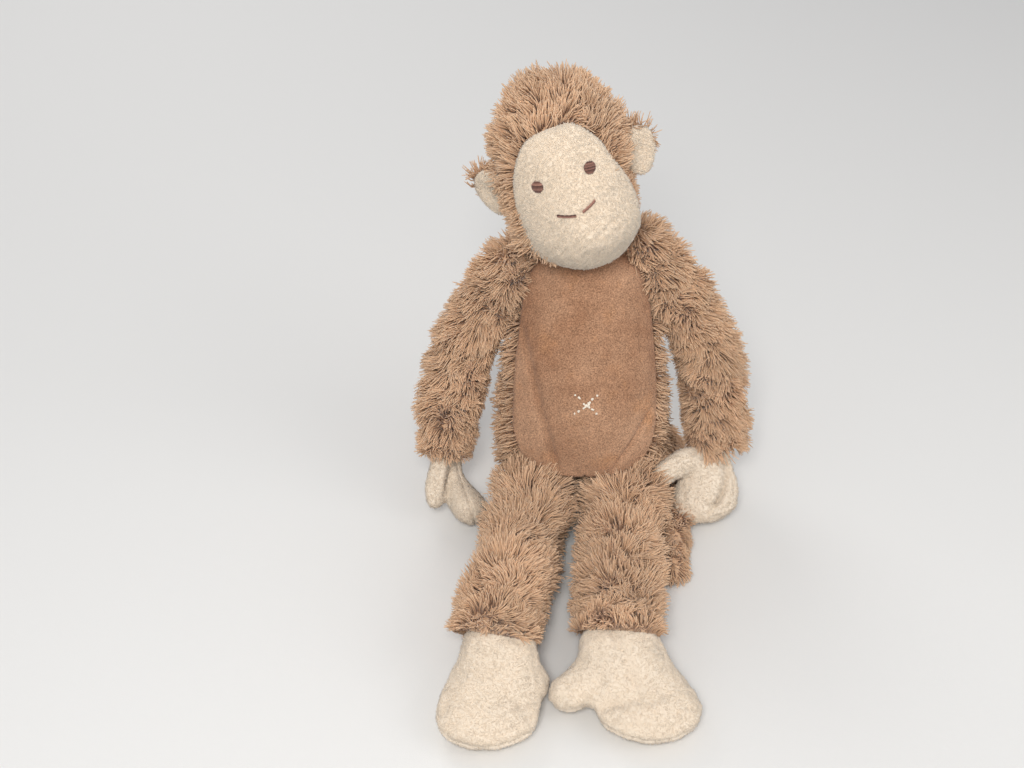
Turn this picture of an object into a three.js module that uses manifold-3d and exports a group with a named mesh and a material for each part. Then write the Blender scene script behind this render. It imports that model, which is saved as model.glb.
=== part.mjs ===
// Plush monkey, sitting: millimetres, +Z up, facing -Y, origin in the middle of its flat seat.
import * as THREE from 'three';
import Module from 'manifold-3d';
import { mergeVertices } from 'three/addons/utils/BufferGeometryUtils.js';

const wasm = await Module();
wasm.setup();

const at = (x, y, z) => new THREE.Vector3(x, y, z);
const degrees = THREE.MathUtils.degToRad;

// Cloth and sewing
const seam_gap = 0.3;
const fur_wall = 4;
const cream_wall = 2.5;
const floor_z = 0;

// Head: its own frame has its origin in the middle of the head
const head_middle = at(-11, 1, 182);
const head_lean_back = -15;
const head_roll = -21;
const head_turn = 4;
const head_half_width = 35.5;
const head_half_depth = 39;
const head_half_height = 46.5;
const eye_radius = 3;
const eye_spacing = 25;
const eye_height = 3;
const mouth_thread = 0.55;
const ear_half_width = 9.5;
const ear_half_height = 11;
const ear_thickness = 5.4;
const ear_out = 32.5;
const ear_sweep = 22;
const ear_height = -4;

// Neck: everything turns about its middle
const neck = at(0, 5, 122);
const neck_radius = 22;
const neck_socket = 24.6;
const neck_plug = 11;

// Torso
const torso_top = 134;
const torso_half_width = 46;
const torso_half_depth = 39;
const belly_back_y = -7;

// Limbs
const shoulder = at(36, 4, 121);
const arm_radius = 16.5;
const hip = at(22, -38, 20);
const leg_radius = 19.2;
const hand_root = 11.5;
const foot_root = 13.5;
const tail_root = at(6, 17, 11);
const tail_radius = 7.4;
const thread_radius = 0.45;

// Seat weight
const pouch_middle = at(0, -4.5, 14.2);
const pouch_half = at(27, 10, 9.6);

const cloth_colours = {
  fur: 0xb99878,
  belly: 0xa47a58,
  cream: 0xe9dcc4,
  thread: 0xcdb597,
  brown: 0x5a3326,
  filling: 0xf2f0ea,
  beans: 0xd8d8d4,
};

function cloth(kind, roughness) {
  return new THREE.MeshStandardMaterial({ color: cloth_colours[kind], roughness, metalness: 0 });
}

// A closed geometry as a solid for cutting
function solid(geometry) {
  const plain = geometry.clone();
  plain.deleteAttribute('normal');
  plain.deleteAttribute('uv');
  const merged = mergeVertices(plain, 1e-3);
  const corners = merged.index.array;
  const kept = [];
  for (let i = 0; i < corners.length; i += 3) {
    const [a, b, c] = [corners[i], corners[i + 1], corners[i + 2]];
    if (a !== b && b !== c && c !== a) {
      kept.push(a, b, c);
    }
  }
  const mesh = new wasm.Mesh({
    numProp: 3,
    vertProperties: Float32Array.from(merged.attributes.position.array),
    triVerts: Uint32Array.from(kept),
  });
  return new wasm.Manifold(mesh);
}

// A rounded tube along a smooth path; its half widths and half depths swell along it
function swell({ points, widths, depths, caps, across, around, rings, inset = 0 }) {
  const path = new THREE.CatmullRomCurve3(points);
  const length = path.getLength();
  const wide_curve = new THREE.SplineCurve(widths.map((w, i) => new THREE.Vector2(i, w)));
  const deep_curve = new THREE.SplineCurve(depths.map((d, i) => new THREE.Vector2(i, d)));
  const places = [];
  for (let ring = 0; ring <= rings; ring += 1) {
    const share = (1 - Math.cos((Math.PI * ring) / rings)) / 2;
    const reach = inset + (length - 2 * inset) * share;
    const inside = THREE.MathUtils.clamp(reach, 0, length);
    const along = inside / length;
    const forward = path.getTangentAt(along);
    const middle = path.getPointAt(along).addScaledVector(forward, reach - inside);
    const wide = across.clone().addScaledVector(forward, -across.dot(forward)).normalize();
    const deep = new THREE.Vector3().crossVectors(forward, wide);
    const from_start = (reach - inset) / (caps[0] - inset);
    const from_end = (length - inset - reach) / (caps[1] - inset);
    const missing = Math.max(0, 1 - from_start, 1 - from_end);
    const rounding = Math.sqrt(Math.max(0, 1 - missing * missing));
    const half_width = (wide_curve.getPoint(along).y - inset) * rounding;
    const half_depth = (deep_curve.getPoint(along).y - inset) * rounding;
    const is_pole = ring === 0 || ring === rings;
    for (let turn = 0; turn < (is_pole ? 1 : around); turn += 1) {
      const angle = (2 * Math.PI * turn) / around;
      const place = middle.clone();
      if (!is_pole) {
        place.addScaledVector(wide, half_width * Math.cos(angle));
        place.addScaledVector(deep, half_depth * Math.sin(angle));
      }
      places.push(place);
    }
  }
  const last = places.length - 1;
  const corner = (ring, turn) => {
    if (ring === 0) {
      return 0;
    }
    return ring === rings ? last : 1 + (ring - 1) * around + (turn % around);
  };
  const index = [];
  for (let ring = 0; ring < rings; ring += 1) {
    for (let turn = 0; turn < around; turn += 1) {
      const [a, b] = [corner(ring, turn), corner(ring, turn + 1)];
      const [c, d] = [corner(ring + 1, turn), corner(ring + 1, turn + 1)];
      if (a !== b) {
        index.push(a, b, c);
      }
      if (c !== d) {
        index.push(b, d, c);
      }
    }
  }
  const geometry = new THREE.BufferGeometry().setFromPoints(places);
  geometry.setIndex(index);
  return geometry;
}

const form = (shape, inset) => solid(swell({ ...shape, inset }));

function ball(middle, radius, across = 16) {
  const geometry = new THREE.SphereGeometry(radius, across, Math.round(across * 0.6));
  return solid(geometry.translate(middle.x, middle.y, middle.z));
}

function block(low, high) {
  const size = high.clone().sub(low);
  const middle = high.clone().add(low).multiplyScalar(0.5);
  const geometry = new THREE.BoxGeometry(size.x, size.y, size.z);
  return solid(geometry.translate(middle.x, middle.y, middle.z));
}

// A big block that starts at a point and fills everything ahead of it
function beyond(point, ahead) {
  const reach = 90;
  const geometry = new THREE.BoxGeometry(2 * reach, reach, 2 * reach);
  geometry.translate(0, reach / 2, 0);
  const turn = new THREE.Quaternion().setFromUnitVectors(at(0, 1, 0), ahead.clone().normalize());
  geometry.applyQuaternion(turn);
  return solid(geometry.translate(point.x, point.y, point.z));
}

// The room a round limb sweeps when it points one way
function capsule(start, ahead, radius, length) {
  const geometry = new THREE.CapsuleGeometry(radius, length, 2, 10);
  geometry.translate(0, length / 2, 0);
  const turn = new THREE.Quaternion().setFromUnitVectors(at(0, 1, 0), ahead.clone().normalize());
  geometry.applyQuaternion(turn);
  return solid(geometry.translate(start.x, start.y, start.z));
}

function rod(start, ahead, radius, length) {
  const geometry = new THREE.CylinderGeometry(radius, radius, length, 10);
  const turn = new THREE.Quaternion().setFromUnitVectors(at(0, 1, 0), ahead.clone().normalize());
  geometry.applyQuaternion(turn);
  return solid(geometry.translate(start.x, start.y, start.z));
}

// A sewn ring lying on a ball: a band of that ball about one axis
function seam_band(middle, axis, radius, thickness, from_angle, to_angle) {
  const corner = (angle, r) => new THREE.Vector2(r * Math.sin(degrees(angle)), r * Math.cos(degrees(angle)));
  const outer = radius + thickness;
  const profile = [
    corner(from_angle, radius),
    corner(to_angle, radius),
    corner(to_angle, outer),
    corner(from_angle, outer),
    corner(from_angle, radius),
  ];
  const geometry = new THREE.LatheGeometry(profile, 14);
  const turn = new THREE.Quaternion().setFromUnitVectors(at(0, 1, 0), axis.clone().normalize());
  geometry.applyQuaternion(turn);
  const band = solid(geometry.translate(middle.x, middle.y, middle.z));
  return band;
}

function seam_ring(middle, axis, radius) {
  const geometry = new THREE.TorusGeometry(radius, thread_radius, 5, 14);
  const turn = new THREE.Quaternion().setFromUnitVectors(at(0, 0, 1), axis.clone().normalize());
  geometry.applyQuaternion(turn);
  return solid(geometry.translate(middle.x, middle.y, middle.z));
}

// A thread stitch along a smooth path
function stitch(points) {
  const thread = new THREE.Shape().absarc(0, 0, mouth_thread, 0, 2 * Math.PI);
  const path = new THREE.CatmullRomCurve3(points);
  const options = { steps: 4, curveSegments: 3, extrudePath: path };
  return solid(new THREE.ExtrudeGeometry(thread, options));
}

// A smooth outline seen from the front, pushed through from y_front to y_back
function front_cutter(outline, y_front, y_back, growth) {
  const half = outline.map(([x, z]) => new THREE.Vector2(x, z));
  const mirrored = half.slice(1, -1).reverse().map((p) => new THREE.Vector2(-p.x, p.y));
  const loop = new THREE.SplineCurve([...half, ...mirrored, half[0]]);
  const middle = half[0].clone().add(half[half.length - 1]).multiplyScalar(0.5);
  const rim = loop.getPoints(28).slice(0, -1);
  const grown = rim.map((p) => {
    const arm = p.clone().sub(middle);
    return arm.setLength(arm.length() + growth).add(middle);
  });
  const options = { depth: y_back - y_front, bevelEnabled: false, steps: 1 };
  const geometry = new THREE.ExtrudeGeometry(new THREE.Shape(grown), options);
  geometry.rotateX(Math.PI / 2);
  return solid(geometry.translate(0, y_back, 0));
}

// The first point of a solid's surface met from the front
function front_point(target, x, z) {
  const data = target.getMesh();
  const geometry = new THREE.BufferGeometry();
  geometry.setAttribute('position', new THREE.BufferAttribute(data.vertProperties, 3));
  geometry.setIndex(new THREE.BufferAttribute(data.triVerts, 1));
  const mesh = new THREE.Mesh(geometry, new THREE.MeshBasicMaterial({ side: THREE.DoubleSide }));
  const caster = new THREE.Raycaster(at(x, -300, z), at(0, 1, 0));
  return caster.intersectObject(mesh)[0].point;
}

function piece(parent, name, body, material) {
  const data = body.getMesh();
  const geometry = new THREE.BufferGeometry();
  geometry.setAttribute('position', new THREE.BufferAttribute(data.vertProperties, 3));
  geometry.setIndex(new THREE.BufferAttribute(data.triVerts, 1));
  geometry.computeVertexNormals();
  const mesh = new THREE.Mesh(geometry, material);
  mesh.name = name;
  parent.add(mesh);
}

function group(parent, name, position) {
  const made = new THREE.Group();
  made.name = name;
  made.position.copy(position);
  parent.add(made);
  return made;
}

const monkey = new THREE.Group();
monkey.name = 'plush_monkey';

// The floor block, moved into the frame of a group
function floor_in(frame, height = floor_z) {
  monkey.updateMatrixWorld(true);
  const geometry = new THREE.BoxGeometry(900, 900, 80);
  geometry.translate(0, 0, height - 40);
  geometry.applyMatrix4(frame.matrixWorld.clone().invert());
  return solid(geometry);
}

// Torso
const torso = group(monkey, 'torso', at(0, 0, 0));
const torso_shape = {
  points: [at(0, -14, -8), at(0, -14, 30), at(0, -8, 70), at(0, 0, 105), at(0, 5, torso_top)],
  widths: [41, torso_half_width, 45, 39, 31, 17],
  depths: [35, 38, torso_half_depth, 36, 28, 17],
  caps: [20, 15],
  across: at(1, 0, 0),
  around: 18,
  rings: 10,
};
const arm_start = at(0.5, -0.06, -0.86);
const tail_start = at(0.9, 0.43, -0.03);
const neck_axis = head_middle.clone().sub(neck).normalize();

// The room an arm sweeps about the shoulder: a rounded cone about the X axis
function shoulder_room(side) {
  const radius = arm_radius + 2.2;
  const slant = degrees(60);
  const spot = (away, out) => new THREE.Vector2(away, out);
  const profile = [
    spot(0, -radius),
    spot(radius * 0.26, -radius * 0.966),
    spot(radius * Math.cos(slant), -radius * Math.sin(slant)),
    spot(radius * Math.cos(slant) + 60 * Math.sin(slant), 60 * Math.cos(slant) - radius * Math.sin(slant)),
    spot(75, 50),
    spot(0, 50),
  ];
  const geometry = new THREE.LatheGeometry(profile, 14);
  geometry.applyQuaternion(new THREE.Quaternion().setFromUnitVectors(at(0, 1, 0), at(side, 0, 0)));
  return solid(geometry.translate(side * shoulder.x, shoulder.y, shoulder.z));
}

function torso_room() {
  let room = ball(tail_root, tail_radius + 2.6, 14);
  room = room.add(capsule(tail_root, tail_start, tail_radius + 0.8, 30));
  room = room.add(rod(neck.clone().addScaledVector(neck_axis, 25), neck_axis, 9, 30));
  for (const side of [1, -1]) {
    room = room.add(shoulder_room(side));
    const joint = at(side * hip.x, hip.y, hip.z);
    room = room.add(ball(joint, leg_radius + 2.8, 14));
    for (const [lift, spread] of [[20, 0], [20, 35]]) {
      const ahead = at(0, -1, 0).applyAxisAngle(at(0, 0, side), degrees(spread));
      ahead.applyAxisAngle(at(-1, 0, 0), degrees(lift));
      room = room.add(capsule(joint, ahead, leg_radius + 2.4, 60));
    }
  }
  room = room.add(block(at(-44, -90, -20), at(44, hip.y + leg_radius + 1.5, hip.z)));
  return room.add(block(at(-15, -90, -20), at(15, hip.y + 6, hip.z + 18)));
}

function torso_body(inset, seat) {
  const shape = inset > 0 ? { ...torso_shape, around: 12, rings: 8 } : torso_shape;
  const body = form(shape, inset).add(ball(neck, neck_radius - inset, inset > 0 ? 12 : 16));
  return body.subtract(floor_in(torso, seat));
}

const belly_outline = [[0, 138], [20, 131], [26, 114], [31, 92], [33, 68], [30, 48], [17, 38], [0, 36]];
const torso_cut = torso_room();
const torso_skin = torso_body(0, floor_z);
const torso_shell = torso_skin.subtract(torso_body(fur_wall, floor_z + fur_wall)).subtract(torso_cut);
piece(
  torso,
  'belly_panel',
  torso_shell.intersect(front_cutter(belly_outline, -90, belly_back_y, 0)),
  cloth('belly', 0.9),
);
piece(
  torso,
  'back_panel',
  torso_shell.subtract(front_cutter(belly_outline, -90, belly_back_y, seam_gap)),
  cloth('fur', 0.95),
);

function pouch(growth, seat) {
  const geometry = new THREE.SphereGeometry(1, 12, 8);
  geometry.scale(pouch_half.x + growth, pouch_half.y + growth, pouch_half.z + growth);
  geometry.translate(pouch_middle.x, pouch_middle.y, pouch_middle.z);
  return solid(geometry).subtract(floor_in(torso, seat));
}
const pouch_floor = fur_wall + 2 * seam_gap;
let stuffing_room = ball(neck, neck_plug + 0.6).add(pouch(0.4, 0));
stuffing_room = stuffing_room.add(shoulder_room(1)).add(shoulder_room(-1));
stuffing_room = stuffing_room.add(ball(tail_root, tail_radius + 2.8, 14));
stuffing_room = stuffing_room.add(capsule(tail_root, tail_start, tail_radius + 1, 30));
stuffing_room = stuffing_room.add(rod(neck.clone().addScaledVector(neck_axis, 25), neck_axis, 9, 30));
stuffing_room = stuffing_room.add(block(at(-60, -90, -20), at(60, hip.y + 10, hip.z + 30)));
stuffing_room = stuffing_room.add(block(at(-60, -90, -20), at(60, hip.y + leg_radius + 2.3, hip.z)));
for (const side of [1, -1]) {
  stuffing_room = stuffing_room.add(ball(at(side * hip.x, hip.y, hip.z), leg_radius + 2.5, 20));
}
piece(
  torso,
  'torso_stuffing',
  torso_body(fur_wall + seam_gap, fur_wall + seam_gap).subtract(stuffing_room),
  cloth('filling', 1),
);
const pouch_mouth = rod(pouch_middle.clone().add(at(0, 0, 10)), at(0, 0, 1), 4, 12);
const pouch_shell = pouch(0, pouch_floor).subtract(pouch(-0.9, pouch_floor + 0.9));
piece(torso, 'bean_pouch', pouch_shell.subtract(pouch_mouth), cloth('thread', 0.9));
piece(torso, 'bean_fill', pouch(-1.2, pouch_floor + 1.2), cloth('beans', 0.5));

function navel_arm(slant) {
  const points = [-1, 0, 1].map((step) => {
    const spot = front_point(torso_skin, step * 5.2, 77 + slant * step * 4.6);
    return spot.add(at(0, -0.5 - (slant > 0 ? 0.3 : 0), 0));
  });
  return stitch(points);
}
const navel = navel_arm(1).add(navel_arm(-1)).subtract(form(torso_shape, -seam_gap));
piece(torso, 'navel_stitch', navel, cloth('cream', 0.8));

// Neck
const neck_group = group(monkey, 'neck', at(0, 0, 0));
piece(
  neck_group,
  'neck_seam',
  seam_band(neck, neck_axis, neck_radius + 0.5, 1.3, 28, 42),
  cloth('thread', 0.8),
);
piece(neck_group, 'neck_stuffing', ball(neck, neck_plug, 14), cloth('filling', 1));

// Head
const head = group(monkey, 'head', head_middle);
head.rotation.set(degrees(head_lean_back), degrees(head_roll), degrees(head_turn), 'ZYX');
monkey.updateMatrixWorld(true);
const head_shape = {
  points: [
    at(0, -7, -head_half_height - 2.5),
    at(0, -5, -22),
    at(0, 0, 4),
    at(0, 4, 26),
    at(0, 4, head_half_height),
  ],
  widths: [27, 35, head_half_width, 34.5, 31, 25],
  depths: [28, 37, head_half_depth, head_half_depth, 35, 27],
  caps: [27, 32],
  across: at(1, 0, 0),
  around: 18,
  rings: 10,
};
const neck_in_head = head.worldToLocal(neck.clone());
const face_outline = [[0, 25], [14, 21], [23, 10], [27.5, -6], [28.5, -20], [24, -36], [12, -50], [0, -54]];
const head_inside = { ...head_shape, around: 12, rings: 8 };
const head_skin = form(head_shape, 0);
let head_room = ball(neck_in_head, neck_socket + 0.5, 16);
for (const side of [1, -1]) {
  head_room = head_room.add(rod(at(side * ear_out, 3, ear_height), at(0, 0, 1), 3.5, 19));
}
const head_shell = head_skin.subtract(form(head_inside, fur_wall)).subtract(head_room);
piece(head, 'face_panel', head_shell.intersect(front_cutter(face_outline, -90, -6, 0)), cloth('cream', 0.95));
piece(
  head,
  'head_fur_cap',
  head_shell.subtract(front_cutter(face_outline, -90, -6, seam_gap)),
  cloth('fur', 0.95),
);
piece(head, 'head_stuffing', form(head_inside, fur_wall + seam_gap).subtract(head_room), cloth('filling', 1));

const head_clear = form(head_shape, -seam_gap);
function eye(side) {
  const spot = front_point(head_skin, (side * eye_spacing) / 2, eye_height);
  const geometry = new THREE.SphereGeometry(eye_radius, 10, 6);
  geometry.scale(1, 0.5, 1);
  return solid(geometry.translate(spot.x, spot.y, spot.z)).subtract(head_clear);
}
function mouth(from, to, sag) {
  const points = [0, 0.5, 1].map((share) => {
    const x = from[0] + (to[0] - from[0]) * share;
    const z = from[1] + (to[1] - from[1]) * share - sag * 4 * share * (1 - share);
    return front_point(head_skin, x, z).add(at(0, -0.45, 0));
  });
  return stitch(points).subtract(head_clear);
}
piece(head, 'left_eye', eye(1), cloth('brown', 0.6));
piece(head, 'right_eye', eye(-1), cloth('brown', 0.6));
piece(head, 'left_mouth_stitch', mouth([3.9, -13], [10.8, -10.6], 0.5), cloth('brown', 0.6));
piece(head, 'right_mouth_stitch', mouth([-8.8, -11.6], [0.4, -14], 0.5), cloth('brown', 0.6));

// Ears: a round flap with a rounded root that turns in a groove of the head
function ear(side) {
  const word = side > 0 ? 'left' : 'right';
  const flap = group(head, `${word}_ear`, at(side * ear_out, 3, ear_height));
  flap.rotation.z = side * degrees(ear_sweep);
  const shape = {
    points: [at(0, 0, 0), at(side * ear_half_width, 0, 0), at(side * 2 * ear_half_width, 0, 0)],
    widths: [ear_half_height, ear_half_height, ear_half_height],
    depths: [ear_thickness / 2, ear_thickness / 2, ear_thickness / 2],
    caps: [ear_half_width, ear_half_width],
    across: at(0, 0, 1),
    around: 14,
    rings: 7,
  };
  const dish = ball(at(side * (ear_half_width + 1), -13.6, 0), 13, 16);
  const root = rod(at(0, 0, 0), at(0, 0, 1), 2.7, 15);
  const body = form(shape, 0).add(root).subtract(block(at(-side * 30, -30, -30), at(-side * 4, 30, 30)));
  const half = seam_gap / 2;
  const front = body.subtract(block(at(-40, -half, -40), at(40, 40, 40))).subtract(dish);
  const back = body.subtract(block(at(-40, -40, -40), at(40, half, 40)));
  piece(flap, `${word}_ear_front`, front, cloth('cream', 0.95));
  piece(flap, `${word}_ear_back`, back, cloth('fur', 0.95));
}
ear(1);
ear(-1);

// A frame whose -Z runs down a hand and whose X runs across it
function hand_turn(ahead, across) {
  const up = ahead.clone().negate().normalize();
  const wide = across.clone().addScaledVector(up, -across.dot(up)).normalize();
  const deep = new THREE.Vector3().crossVectors(up, wide);
  return new THREE.Quaternion().setFromRotationMatrix(new THREE.Matrix4().makeBasis(wide, deep, up));
}

// Arm: a sleeve from the shoulder to the wrist, its filling, and the two sewn rings
function arm(side, wrist, bend, hand_ahead, hand_across, thumb_tip) {
  const word = side > 0 ? 'left' : 'right';
  const root = at(side * shoulder.x, shoulder.y, shoulder.z);
  const limb = group(monkey, `${word}_arm`, root);
  const start = at(side * arm_start.x, arm_start.y, arm_start.z).normalize();
  const end = wrist.clone().sub(root);
  const knee = bend.clone().sub(root);
  const ahead = end.clone().sub(knee).normalize().add(hand_ahead.clone().normalize()).normalize();
  const shape = {
    points: [
      start.clone().multiplyScalar(-arm_radius),
      at(0, 0, 0),
      knee,
      end,
      end.clone().addScaledVector(ahead, 20),
    ],
    widths: [arm_radius, arm_radius, 17.5, 18, 17.5, 17],
    depths: [arm_radius, arm_radius, 17.5, 18, 17.5, 17],
    caps: [arm_radius, 6],
    across: at(0, 1, 0),
    around: 12,
    rings: 9,
  };
  const cut = beyond(end, ahead);
  const sleeve = form(shape, 0).subtract(form(shape, fur_wall)).subtract(cut).subtract(floor_in(limb));
  piece(limb, `${word}_arm_sleeve`, sleeve, cloth('fur', 0.95));
  const filling = form(shape, fur_wall + seam_gap).subtract(cut).subtract(ball(end, hand_root + 2.3, 16));
  piece(limb, `${word}_arm_stuffing`, filling, cloth('filling', 1));
  piece(
    limb,
    `${word}_shoulder_seam`,
    seam_band(at(0, 0, 0), at(-side, 0, 0), arm_radius + seam_gap, 1.2, 12, 26),
    cloth('thread', 0.8),
  );
  piece(limb, `${word}_wrist_seam`, seam_ring(end, ahead, hand_root + 0.9), cloth('thread', 0.8));
  hand(limb, word, end, hand_ahead, hand_across, thumb_tip);
}

// Hand: a mitten with a thumb, two panels sewn round the edge over the filling
function hand(limb, word, place, ahead, across, thumb_tip) {
  const palm = group(limb, `${word}_hand`, place);
  palm.quaternion.copy(hand_turn(ahead, across));
  const mitten = {
    points: [at(0, 0, 11), at(0, 0, 0), at(0, -1, -14), at(0, -1.5, -28), at(0, 0, -41)],
    widths: [11, 10.6, 12, 14.5, 13],
    depths: [11, 10.2, 10, 10.5, 9.5],
    caps: [11, 14],
    across: at(1, 0, 0),
    around: 12,
    rings: 8,
  };
  const thumb_start = at(Math.sign(thumb_tip.x) * 4, 0, -8);
  const thumb = {
    points: [thumb_start, thumb_start.clone().lerp(thumb_tip, 0.5), thumb_tip],
    widths: [6.5, 7, 6.5],
    depths: [6.5, 6.5, 6],
    caps: [6, 6.5],
    across: at(0, 0, 1),
    around: 8,
    rings: 6,
  };
  const whole = (inset) => form(mitten, inset).add(form(thumb, inset));
  const open = block(at(-30, -30, 5), at(30, 30, 30));
  const floor = floor_in(palm);
  const shell = whole(0).subtract(whole(cream_wall)).subtract(open).subtract(floor);
  const half = seam_gap / 2;
  const near = shell.subtract(block(at(-60, -half, -60), at(60, 60, 60)));
  const far = shell.subtract(block(at(-60, -60, -60), at(60, half, 60)));
  const [near_name, far_name] = word === 'left' ? ['back', 'palm'] : ['palm', 'back'];
  piece(palm, `${word}_hand_${near_name}`, near, cloth('cream', 0.95));
  piece(palm, `${word}_hand_${far_name}`, far, cloth('cream', 0.95));
  const filling = whole(cream_wall + seam_gap).subtract(open).subtract(floor_in(palm, cream_wall + seam_gap));
  piece(palm, `${word}_hand_stuffing`, filling, cloth('filling', 1));
}

arm(1, at(67, -25, 31.5), at(60, -2, 80), at(0.2, -0.66, -0.72), at(1, 0, 0), at(-26, -2, -8));
arm(-1, at(-68.5, -28, 30), at(-58.5, -4, 78), at(0.3, -0.65, -0.7), at(0.05, -0.76, 0.65), at(13, -9, -23));

// Leg: a sleeve from the hip to the ankle, its filling, and the two sewn rings
function leg(side, ankle, foot_yaw, foot_out, toe_reach) {
  const word = side > 0 ? 'left' : 'right';
  const root = at(side * hip.x, hip.y, hip.z);
  const limb = group(monkey, `${word}_leg`, root);
  const end = ankle.clone().sub(root);
  const start = end.clone().normalize();
  const foot_ahead = at(0, -1, 0).applyAxisAngle(at(0, 0, 1), degrees(foot_yaw));
  const ahead = foot_ahead.add(start).normalize();
  const shape = {
    points: [
      start.clone().multiplyScalar(-leg_radius),
      at(0, 0, 0),
      end.clone().multiplyScalar(0.5),
      end,
      end.clone().addScaledVector(ahead, 22),
    ],
    widths: [leg_radius, leg_radius, 20, 21, 21.5, 21.5],
    depths: [leg_radius, leg_radius, 20, 20, 20, 19.5],
    caps: [leg_radius, 6],
    across: at(1, 0, 0),
    around: 12,
    rings: 9,
  };
  const cut = beyond(end, ahead);
  const floor = floor_in(limb);
  const sleeve = form(shape, 0).subtract(form(shape, fur_wall)).subtract(cut).subtract(floor);
  piece(limb, `${word}_leg_sleeve`, sleeve, cloth('fur', 0.95));
  const filling_end = beyond(end.clone().addScaledVector(ahead, -1.2), ahead);
  const socket = ball(end, foot_root + 0.1, 18);
  const filling = form(shape, fur_wall + seam_gap).subtract(filling_end).subtract(socket);
  piece(limb, `${word}_leg_stuffing`, filling, cloth('filling', 1));
  piece(
    limb,
    `${word}_hip_seam`,
    seam_band(at(0, 0, 0), start.clone().negate(), leg_radius + seam_gap, 1.4, 30, 44),
    cloth('thread', 0.8),
  );
  piece(limb, `${word}_ankle_seam`, seam_ring(end, ahead, foot_root + 1.3), cloth('thread', 0.8));
  foot(limb, side, word, end, foot_yaw, foot_out, toe_reach);
}

// Foot: a broad flat mitten with its big toe on the inner side, an upper and a sole
function foot(limb, side, word, place, yaw, foot_out, toe_reach) {
  const base = group(limb, `${word}_foot`, place);
  base.rotation.z = degrees(yaw);
  const shift = side * foot_out;
  const main = {
    points: [
      at(0, 13, 0),
      at(0, 0, 0),
      at(shift * 0.35, -15, -6.5),
      at(shift, -28, -9),
      at(shift, -43, -9.5),
    ],
    widths: [13, 13, 10.4, 12, 20, 23, 23.5, 22, 19.5],
    depths: [13, 13, 11, 11, 11.5, 11, 10.5, 10, 9],
    caps: [13, 14],
    across: at(1, 0, 0),
    around: 12,
    rings: 9,
  };
  const toe = {
    points: [at(0, -15, -8), at(-side * toe_reach * 0.5, -15.5, -8), at(-side * toe_reach, -16.5, -8)],
    widths: [10, 10.5, 10],
    depths: [10, 10.5, 10],
    caps: [8, 10],
    across: at(0, 0, 1),
    around: 8,
    rings: 6,
  };
  const whole = (inset) => form(main, inset).add(form(toe, inset));
  const open = block(at(-30, 6, -30), at(30, 40, 30));
  const shell = whole(0).subtract(whole(cream_wall)).subtract(open).subtract(floor_in(base));
  const seam_z = -10;
  const half = seam_gap / 2;
  const upper = shell.subtract(block(at(-80, -80, -60), at(80, 80, seam_z + half)));
  const sole = shell.subtract(block(at(-80, -80, seam_z - half), at(80, 80, 60)));
  piece(base, `${word}_foot_upper`, upper, cloth('cream', 0.95));
  piece(base, `${word}_foot_sole`, sole, cloth('cream', 0.95));
  const filling = whole(cream_wall + seam_gap).subtract(open).subtract(floor_in(base, cream_wall));
  piece(base, `${word}_foot_stuffing`, filling, cloth('filling', 1));
}

leg(1, at(13, -149, 19), 8, 8, 35);
leg(-1, at(-42, -151, 19), -2, 4, 22);

// Tail: a slim sleeve that comes round the side of the seat and lies along the leg
const tail = group(monkey, 'tail', tail_root);
const tail_shape = {
  points: [
    tail_start.clone().normalize().multiplyScalar(-tail_radius),
    at(0, 0, 0),
    at(19, 9, -1),
    at(35, 2, -2.8),
    at(45.5, -18, -3.2),
    at(47.3, -45, -3.2),
    at(45.2, -66, -3.2),
    at(41.4, -90, -3.2),
    at(39.4, -111, -3.2),
  ],
  widths: [tail_radius, tail_radius, tail_radius, tail_radius, tail_radius],
  depths: [tail_radius, tail_radius, tail_radius, tail_radius, tail_radius],
  caps: [tail_radius, tail_radius],
  across: at(0, 0, 1),
  around: 8,
  rings: 13,
};
const tail_open = beyond(tail_start.clone().normalize().multiplyScalar(-4), tail_start.clone().negate());
const tail_shell = form(tail_shape, 0).subtract(form(tail_shape, 3)).subtract(tail_open);
piece(tail, 'tail_sleeve', tail_shell.subtract(floor_in(tail)), cloth('fur', 0.95));
piece(tail, 'tail_stuffing', form(tail_shape, 3 + seam_gap).subtract(tail_open), cloth('filling', 1));
piece(
  tail,
  'tail_seam',
  seam_band(at(0, 0, 0), tail_start.clone().negate(), tail_radius + seam_gap, 1.2, 66, 84),
  cloth('thread', 0.8),
);

export default monkey;
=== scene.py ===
# %% [markdown]
# # A sitting plush monkey
# The toy is a set of stuffed cloth forms sewn to one another: shaggy fur on the head, back, limbs and tail,
# cream terry on the face, hands and feet, and smooth velour on the belly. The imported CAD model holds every
# joint and every place, so this lesson only has to grow the cloth over it, in the same frame.

# %% Load the frame
import math

import bmesh
import bpy
import numpy as np
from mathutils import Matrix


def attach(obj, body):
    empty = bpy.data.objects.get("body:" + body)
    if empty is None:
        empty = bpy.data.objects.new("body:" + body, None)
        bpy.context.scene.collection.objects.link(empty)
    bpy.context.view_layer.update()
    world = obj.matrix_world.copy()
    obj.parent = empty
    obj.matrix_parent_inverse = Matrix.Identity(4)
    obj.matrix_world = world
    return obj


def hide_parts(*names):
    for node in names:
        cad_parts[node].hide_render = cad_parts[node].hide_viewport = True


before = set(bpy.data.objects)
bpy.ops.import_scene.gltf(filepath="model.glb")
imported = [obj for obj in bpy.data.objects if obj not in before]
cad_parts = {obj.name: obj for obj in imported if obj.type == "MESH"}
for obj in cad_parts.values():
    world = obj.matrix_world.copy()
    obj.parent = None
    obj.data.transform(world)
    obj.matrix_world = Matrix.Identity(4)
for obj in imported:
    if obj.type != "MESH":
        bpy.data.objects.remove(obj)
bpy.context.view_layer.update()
dice = np.random.default_rng(11)
mm = 0.001
words = ("left", "right")

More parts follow.
